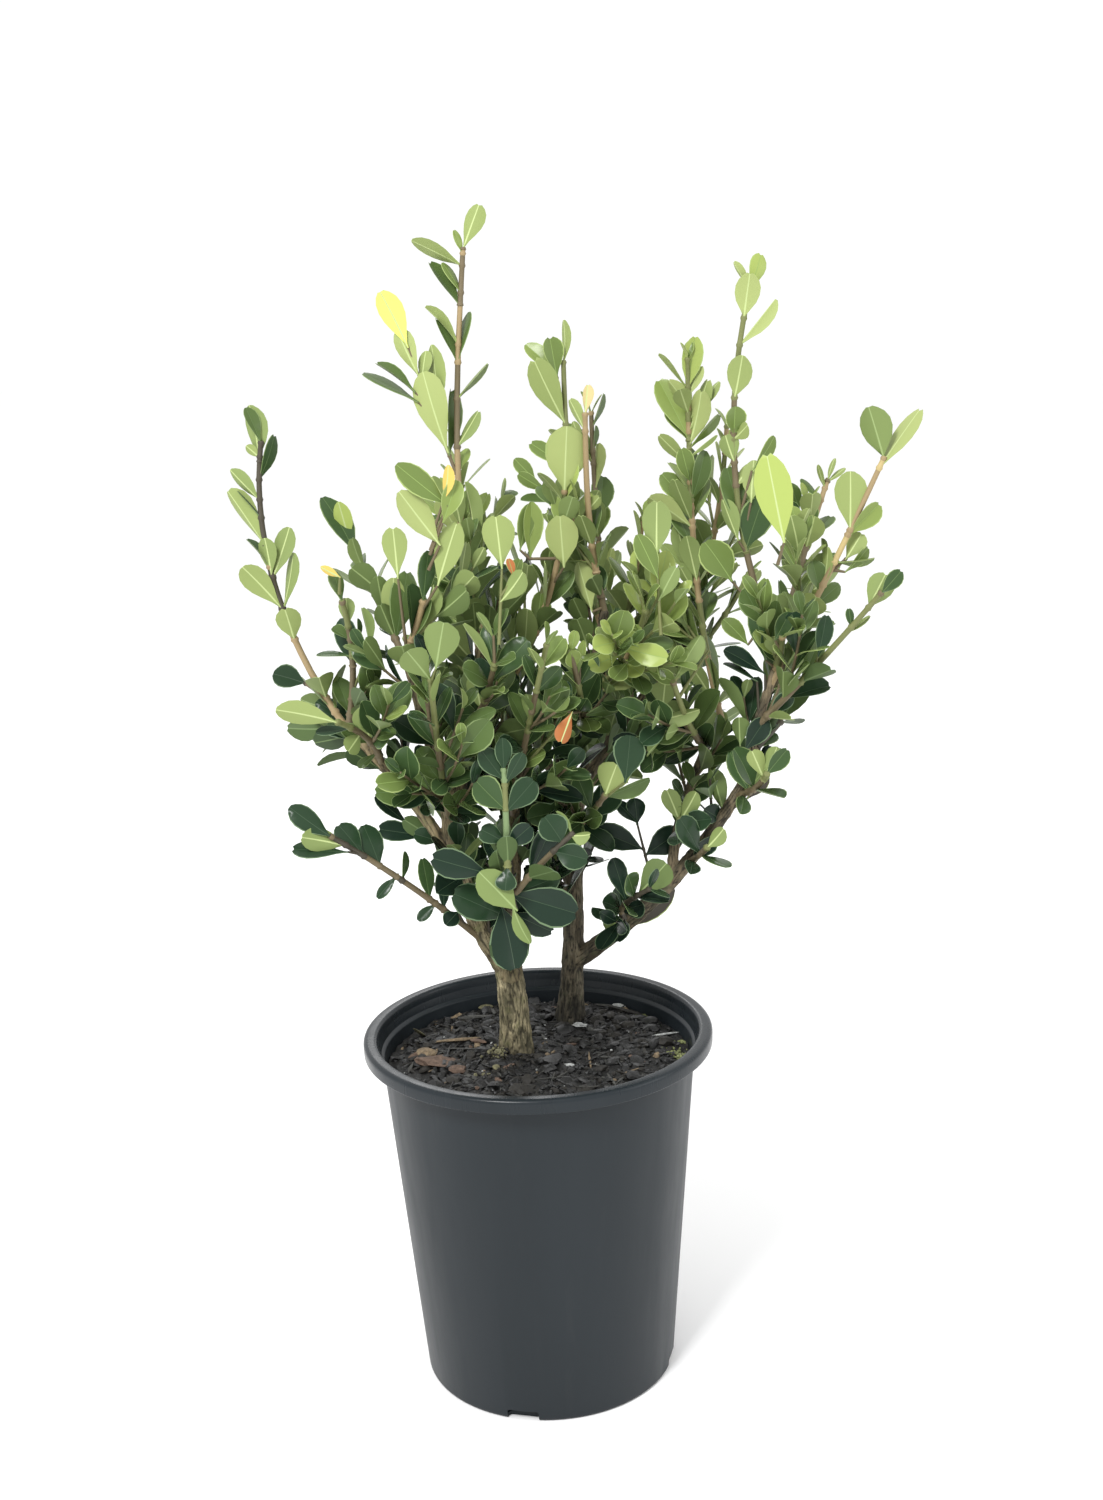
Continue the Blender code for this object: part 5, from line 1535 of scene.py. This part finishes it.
# Leafy spurs on the limbs: where each limb's spurs begin, how near together they are in mm, their green, and
# their seed, which a search picked in the same way.
SPURS_FROM = {
    "bough_left": (0.12, 4, "dark", 48),
    "bough_middle": (0.08, 5, "dark", 21),
    "bough_front": (0.35, 5, "dark", 20),
    "bough_low_left": (0.30, 6, "dark", 15),
    "bough_left_outer": (0.10, 6, "middle", 17),
    "bough_left_inner": (0.10, 6, "middle", 36),
    "trunk_right": (0.34, 5, "dark", 3),
    "bough_right_top": (0.35, 7, "middle", 7),
    "bough_right_inner": (0.30, 6, "middle", 12),
    "bough_centre": (0.10, 6, "middle", 18),
    "bough_back": (0.25, 7, "middle", 23),
    "bough_back_left": (0.20, 7, "middle", 45),
    "bough_back_right": (0.20, 7, "middle", 20),
    "bough_right": (0.72, 8, "dark", 3),
}
SPUR_REACH = 62 * MM
SPUR_DOWN = 60


def grow_spurs(name, seed):
    """The spurs of one limb, with their leaves."""
    rng = random.Random(seed)
    limb = limbs[name]
    start, spacing, green = SPURS_FROM[name][:3]
    axils, share = [], start
    while share < 0.98:
        at, along = place(limb.points, share)
        around = rng.uniform(0, 360)
        below = leaf_set(at, along, around, SPUR_DOWN, 0)[0]
        axils.append((len(axils), 0.35, at + below * (0.5 * limb.radius(share)), along, around, below))
        share += rng.uniform(0.8, 1.25) * spacing * MM / limb.length
    high = 0.25 if green == "dark" else 0.35
    side_twigs(rng, "wood", name, SPUR_REACH, axils, green, (high, high), 0.9, 1, 1)


for name, row in SPURS_FROM.items():
    grow_spurs(name, row[3])
for name, row in SHOOTS.items():
    grow_spray(name, row[7])


# The leaves are leathery, oval or spoon-shaped, cupped and curled a little, with a thin pale margin that is
# partly a painted highlight, a groove along the upper side and a rib below, and often a notch at the tip.
# Each is one closed skin over rows of corners, and all leaves of one green are one piece.

LEAF_ROWS = np.array((0, 0.08, 0.22, 0.38, 0.55, 0.71, 0.85, 0.945, 0.99))
SPOON = np.array((0.06, 0.08, 0.27, 0.59, 0.88, 1.0, 0.90, 0.62, 0.30))
OVAL = np.array((0.06, 0.11, 0.45, 0.82, 0.98, 0.96, 0.76, 0.46, 0.22))
BLADE = np.array((0, 1, 1, 1, 1, 0, -1, -1))  # a row's corners: on an edge, the upper side or the underside
VEIN = np.array((0, 0, 0.14, 0.14, 0, 0, 0.18, 0.18)) * MM
TIP_BULGE = np.array((0, 0.01, 0.015, 0.015, 0.01, 0, 0.015, 0.015))
TIP_NOTCH = np.array((0, 0, 1, 1, 0, 0, 1, 1))
MARGIN_FROM = 0.91  # of half the leaf's width
MARGIN_DROP = 0.13 * MM
BLADE_HALF, STALK_HALF = 0.13, 0.35  # mm, half the thickness
VEIN_HALF, RIB_HALF = 0.10, 0.36  # mm, half the width that slims towards the tip
LEAST_HALF = 0.07  # mm, half the width that doesn't
SLIMMING = 0.6
STRIP_WIDEST = 0.45  # of half the leaf's width
CURL, CUP, NOTCH = (-0.08, 0.24), (-0.02, 0.56), (-0.02, 0.05)
TWIST, BEND = 0.12, 0.05
CUP_ROUND = 1.7


def leaf_faces():
    """The faces of a leaf between its rows of corners, and each face's part of the leaf."""
    faces, parts = [], []
    wide = len(BLADE)
    for low in range(0, (len(LEAF_ROWS) - 1) * wide, wide):
        high = low + wide
        for k, part in enumerate(("edge", "upper", "vein", "upper", "edge")):
            faces.append([low + k, high + k, high + k + 1, low + k + 1])
            parts.append(part)
        for left, right, part in ((0, 6, "under"), (6, 7, "rib"), (7, 5, "under")):
            faces.append([low + left, low + right, high + right, high + left])
            parts.append(part)
    faces.append([0, 1, 2, 3, 4, 5, 7, 6])
    faces.append([high + k for k in (5, 4, 3, 2, 1, 0, 6, 7)])
    return faces, parts + ["under", "edge"]


LEAF_FACES, LEAF_PARTS = leaf_faces()


def leaf_corners(rng, root, direction, face, length, width):
    """The corners of one leaf, a row at a time from its foot."""
    across = np.array(face.cross(direction))
    along, up = np.array(direction), np.array(face)
    curl, cup = rng.uniform(*CURL), rng.uniform(*CUP)
    twist, bend = rng.uniform(-TWIST, TWIST), rng.uniform(-BEND, BEND)
    notch = max(0, rng.uniform(*NOTCH))
    blend = rng.uniform(0, 1)
    corners = []
    for row, (t, half) in enumerate(zip(LEAF_ROWS, SPOON * blend + OVAL * (1 - blend))):
        slimmer = 1 - SLIMMING * t
        vein, rib = (
            min(STRIP_WIDEST, (strip * slimmer + LEAST_HALF) * MM / (half * width / 2))
            for strip in (VEIN_HALF, RIB_HALF)
        )
        strips = np.array((-1, -MARGIN_FROM, -vein, vein, MARGIN_FROM, 1, -rib, rib))
        reach = np.full(len(BLADE), t)
        if row == len(LEAF_ROWS) - 1:
            reach = reach + TIP_BULGE - notch * TIP_NOTCH
        y = strips * half * width / 2
        bow = np.abs(strips) ** CUP_ROUND
        z = -curl * length * reach**2 + cup * half * width / 2 * bow + twist * y * t
        thick = BLADE_HALF if row > 1 else STALK_HALF
        z = z + BLADE * thick * MM * (1 - 0.4 * bow) - (BLADE == 0) * MARGIN_DROP
        if row > 0:
            z = z - VEIN * slimmer
        x = reach * length - LEAF_ROOT
        y = y + bend * length * t * t
        corners.append(np.array(root) + x[:, None] * along + y[:, None] * across + z[:, None] * up)
    return np.concatenate(corners)


LEAF_GREENS = (  # upper side and underside, from the deepest to the palest
    ((0.012, 0.027, 0.0165), (0.040, 0.068, 0.026)),
    ((0.019, 0.042, 0.0195), (0.072, 0.114, 0.038)),
    ((0.040, 0.076, 0.026), (0.115, 0.165, 0.052)),
    ((0.076, 0.120, 0.035), (0.168, 0.226, 0.074)),
    ((0.128, 0.182, 0.050), (0.202, 0.262, 0.088)),
    ((0.198, 0.262, 0.070), (0.252, 0.312, 0.106)),
    ((0.280, 0.350, 0.092), (0.318, 0.376, 0.136)),
)
# The lime tint is partly a yellow-green leaf's own colour, partly a painted glow of the light that shines
# through a leaf lit from behind.
LEAF_TINTS = {
    "yellow": (0.68, 0.76, 0.15), "lime": (0.33, 0.41, 0.100), "gold": (0.58, 0.43, 0.10),
    "straw": (0.50, 0.42, 0.19), "orange": (0.34, 0.115, 0.030), "brown": (0.040, 0.034, 0.022),
}
FINE_PARTS = ("vein", "rib", "edge")
# The pale edges are partly the leaves' own margins, partly a painted highlight where an edge catches the
# light.
FINE_COLOURS = (  # of the veins, ribs and edges of deep, middling and pale leaves
    ((0.034, 0.064, 0.032), (0.13, 0.19, 0.075), (0.12, 0.18, 0.095)),
    ((0.090, 0.145, 0.048), (0.26, 0.34, 0.135), (0.19, 0.26, 0.10)),
    ((0.220, 0.310, 0.090), (0.43, 0.51, 0.22), (0.30, 0.38, 0.13)),
)
BAND_OF_SHADE = (0, 0, 1, 1, 2, 2, 2)  # which of the three goes with each green
PALEST = len(LEAF_GREENS) - 1

# The greens of each group: which the rule starts from at the foot of a shoot, what it gains by the top, and
# what is added to the shade of a leaf that shows. The gain up the plant is partly the paler young growth and
# partly painted light at the top and painted shade below. Deep in the crown the rule's leaves are darker, as
# painted shade.
SHADE_SPREAD = {"dark": (0.3, 1.5), "middle": (1.3, 2.6), "light": (2.4, 2.95)}
SHADE_RAISE = {"dark": 0, "middle": 1, "light": 2}
SHADE_SCATTER = 0.85
INNER_PAINTED_SHADE = 2.4
INNER_REACH = 90 * MM
CROWN_X, CROWN_Y = 0.015, 0.02
CROWN_HIGH = 0.36


def leaf_finish(name, colour, roughness, gloss):
    """One colour of leaf, with a fine grain that breaks up its shine."""
    finish, shader = new_finish(name, colour, roughness)
    shader.inputs["Specular IOR Level"].default_value = gloss
    grain = mottle(finish, object_place(finish), scale=420, detail=3)
    wired(finish, embossed(finish, grain, strength=0.12, distance=0.2 * MM), shader, "Normal")
    return finish


leaf_finishes, leaf_places = [], {}
for number, (upper, under) in enumerate(LEAF_GREENS):
    for part, colour, roughness, gloss in (("upper", upper, 0.24, 0.2), ("under", under, 0.5, 0.2)):
        leaf_places[number, part] = len(leaf_finishes)
        leaf_finishes.append(leaf_finish(f"leaf_{number}_{part}", colour, roughness, gloss))
for tint, colour in LEAF_TINTS.items():
    leaf_places[tint, "upper"] = leaf_places[tint, "under"] = len(leaf_finishes)
    leaf_finishes.append(leaf_finish(f"leaf_{tint}", colour, 0.45, 0.3))
for number, colours in enumerate(FINE_COLOURS):
    for part, colour in zip(FINE_PARTS, colours):
        leaf_places[number, part] = len(leaf_finishes)
        leaf_finishes.append(leaf_finish(f"leaf_{part}_{number}", colour, 0.5, 0.25))

for green, (foot_shade, gain) in SHADE_SPREAD.items():
    rng = random.Random(len(green))
    joined = JoinedMesh()
    for root, direction, face, length, width, kind, high in leaves:
        if kind != green:
            continue
        if isinstance(high, float):
            # Painted shade: the deeper in the crown and the lower a leaf is, the darker its green.
            away = math.hypot(root.x - CROWN_X, root.y - CROWN_Y)
            inner = max(0, 1 - away / INNER_REACH) * max(0, 1.1 - root.z / CROWN_HIGH)
            shade = rng.gauss(foot_shade + gain * high - INNER_PAINTED_SHADE * inner, SHADE_SCATTER)
            look = min(PALEST, max(0, round(shade)))
        else:
            # A leaf that shows keeps its listed shade, raised by its group: its own green with painted light
            # and shade.
            look = high if isinstance(high, str) else min(PALEST, high + SHADE_RAISE[kind])
        band = 2 if isinstance(look, str) else BAND_OF_SHADE[look]
        place_of = {part: leaf_places[band, part] for part in FINE_PARTS}
        for part in ("upper", "under"):
            place_of[part] = leaf_places[look, part]
        corners = leaf_corners(rng, root, direction, face, length, width)
        joined.add(corners, LEAF_FACES, [place_of[part] for part in LEAF_PARTS])
    foliage = joined.made(f"leaves_{green}", leaf_finishes, 50)
    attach(foliage, "root")
    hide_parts(*[name for name, row in SHOOTS.items() if row[4] == green])


# The stems and side twigs of the sprays are one piece of young wood, mostly brown or tan at the foot and
# dark, olive or straw at the top, with a knot where each pair of leaves stands and a fine scurf over it.

SHOOT_BARKS = {
    "dark": (0.050, 0.042, 0.026), "brown": (0.135, 0.105, 0.055), "tan": (0.30, 0.22, 0.11),
    "straw": (0.46, 0.36, 0.16), "olive": (0.150, 0.165, 0.055), "pale": (0.16, 0.23, 0.10),
}
BARK_OF = {"dark": ("brown", "dark"), "middle": ("brown", "olive"), "light": ("tan", "olive")}  # foot and top
BARK_OF_STEM = {
    "spray_left_tall": ("tan", "brown"),
    "spray_far_left": ("tan", "dark"),
    "spray_front": ("olive", "pale"),
    "spray_right_tall": ("brown", "olive"),
    "spray_far_right": ("tan", "straw"),
    "spray_back": ("brown", "tan"),
    "spray_left_centre": ("tan", "tan"),
    "spray_centre": ("brown", "tan"),
    "spray_right_upper": ("brown", "tan"),
}
STEM_SIDES, TWIG_SIDES = 8, 6
STEM_RINGS = 14
CUT_ABOVE = 1.0 * MM  # the last pair of leaves
KNOT_BELOW, KNOT_ABOVE = 1.1 * MM, 1.3 * MM
KNOT_SWELL, KNOT_TOP = 1.35, 1.05
RINGS_APART = 0.25 * MM
TOP_SWELL = 1.6  # a stem ends stouter than its room, under its bark
LEAFLESS_AT = 0.08  # a stem without leaves is a stub
bark_places = {name: number for number, name in enumerate(SHOOT_BARKS)}


def knotty(points, length, foot, tip, shares):
    """A shoot's points and radii, with a knot where each pair of leaves is, cut off above the last pair."""
    top = min(1, max(shares) + CUT_ABOVE / length) if shares else 1
    rings = [(k / STEM_RINGS * top, 1.0) for k in range(STEM_RINGS + 1)]
    for share in shares:
        below, above = share - KNOT_BELOW / length, share + KNOT_ABOVE / length
        rings += [(below, 1.0), (share, KNOT_SWELL), (above, KNOT_TOP)]
    rings = sorted(ring for ring in rings if 0 <= ring[0] <= top)
    kept = [rings[0]]
    for share, swell in rings[1:]:
        if share - kept[-1][0] > RINGS_APART / length:
            kept.append((share, swell))
    return (
        [place(points, share)[0] for share, swell in kept],
        [(foot + (tip - foot) * share) * swell for share, swell in kept],
    )


shoots = JoinedMesh()
rng = random.Random(5)
for name, stem in stems.items():
    shares = sorted(set(joints.get((name, "stem"), [LEAFLESS_AT])))
    points, radii = knotty(stem.points, stem.length, stem.foot_radius, stem.tip_radius * TOP_SWELL, shares)
    corners, faces = tube(points, radii, STEM_SIDES)
    lower, upper = BARK_OF_STEM.get(name, BARK_OF[SHOOTS[name][4]])
    barks, bark = [], lower
    for ring in range(len(points) - 1):
        if radii[ring + 1] > 1.15 * radii[ring]:
            bark = rng.choice((lower, lower, upper) if ring < len(points) // 2 else (upper, upper, lower))
        barks += [bark_places[bark]] * STEM_SIDES
    barks += [bark_places[lower], bark_places[upper]]
    shoots.add([corner[:] for corner in corners], faces, barks)
for points, foot, tip, bark, shares in twigs:
    length = (points[-1] - points[0]).length
    points, radii = knotty(points, length, foot, tip, sorted(set(shares)))
    corners, faces = tube(points, radii, TWIG_SIDES)
    shoots.add([corner[:] for corner in corners], faces, bark_places[bark])
shoot_finishes = []
for name, colour in SHOOT_BARKS.items():
    finish, shader = new_finish(f"shoot_{name}", colour, 0.65)
    scurf = mottle(finish, object_place(finish), scale=700, roughness=0.7)
    wired(finish, embossed(finish, scurf, strength=0.5, distance=0.2 * MM), shader, "Normal")
    shoot_finishes.append(finish)
shoot_wood = shoots.made("shoot_stems", shoot_finishes, 60)
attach(shoot_wood, "root")


# The stage: a pale floor in a white studio, one broad light above and in front, a softer one at the side, a
# small one behind, and a camera level with the crown that looks a little down.

FLOOR_RADIUS = 30
STUDIO_WHITE = 1.05
LIT_POINT = Vector((0, 0, 0.3))

bpy.ops.object.select_all(action="DESELECT")
bpy.ops.mesh.primitive_circle_add(vertices=96, radius=FLOOR_RADIUS, fill_type="NGON")
floor = bpy.context.object
floor.name = "studio_floor"
white_floor, shader = new_finish("white_floor", (0.96, 0.96, 0.96), 0.9)
floor.data.materials.append(white_floor)

world = bpy.data.worlds.new("studio")
world.use_nodes = True
world.node_tree.nodes["Background"].inputs["Color"].default_value = (1, 1, 1, 1)
world.node_tree.nodes["Background"].inputs["Strength"].default_value = STUDIO_WHITE
bpy.context.scene.world = world
for name, energy, size, at in (
    ("broad_light", 36, 0.5, (-0.7, -1.3, 1.75)),
    ("side_light", 6, 1.0, (1.6, -0.5, 0.9)),
    ("rear_light", 2.2, 0.4, (-0.15, 1.5, 1.05)),
):
    lamp = bpy.data.lights.new(name, "AREA")
    lamp.energy = energy
    lamp.size = size
    light = bpy.data.objects.new(name, lamp)
    light.location = at
    light.rotation_euler = (LIT_POINT - Vector(at)).to_track_quat("-Z", "Y").to_euler()
    bpy.context.scene.collection.objects.link(light)

camera = bpy.data.objects.new("camera", bpy.data.cameras.new("camera"))
bpy.context.scene.collection.objects.link(camera)
camera.data.lens = LENS
camera.data.clip_start = 0.01
camera.matrix_world = Matrix((
    (right.x, up.x, -ahead.x, EYE.x),
    (right.y, up.y, -ahead.y, EYE.y),
    (right.z, up.z, -ahead.z, EYE.z),
    (0, 0, 0, 1),
))
bpy.context.scene.camera = camera
bpy.context.scene.view_settings.view_transform = "Standard"
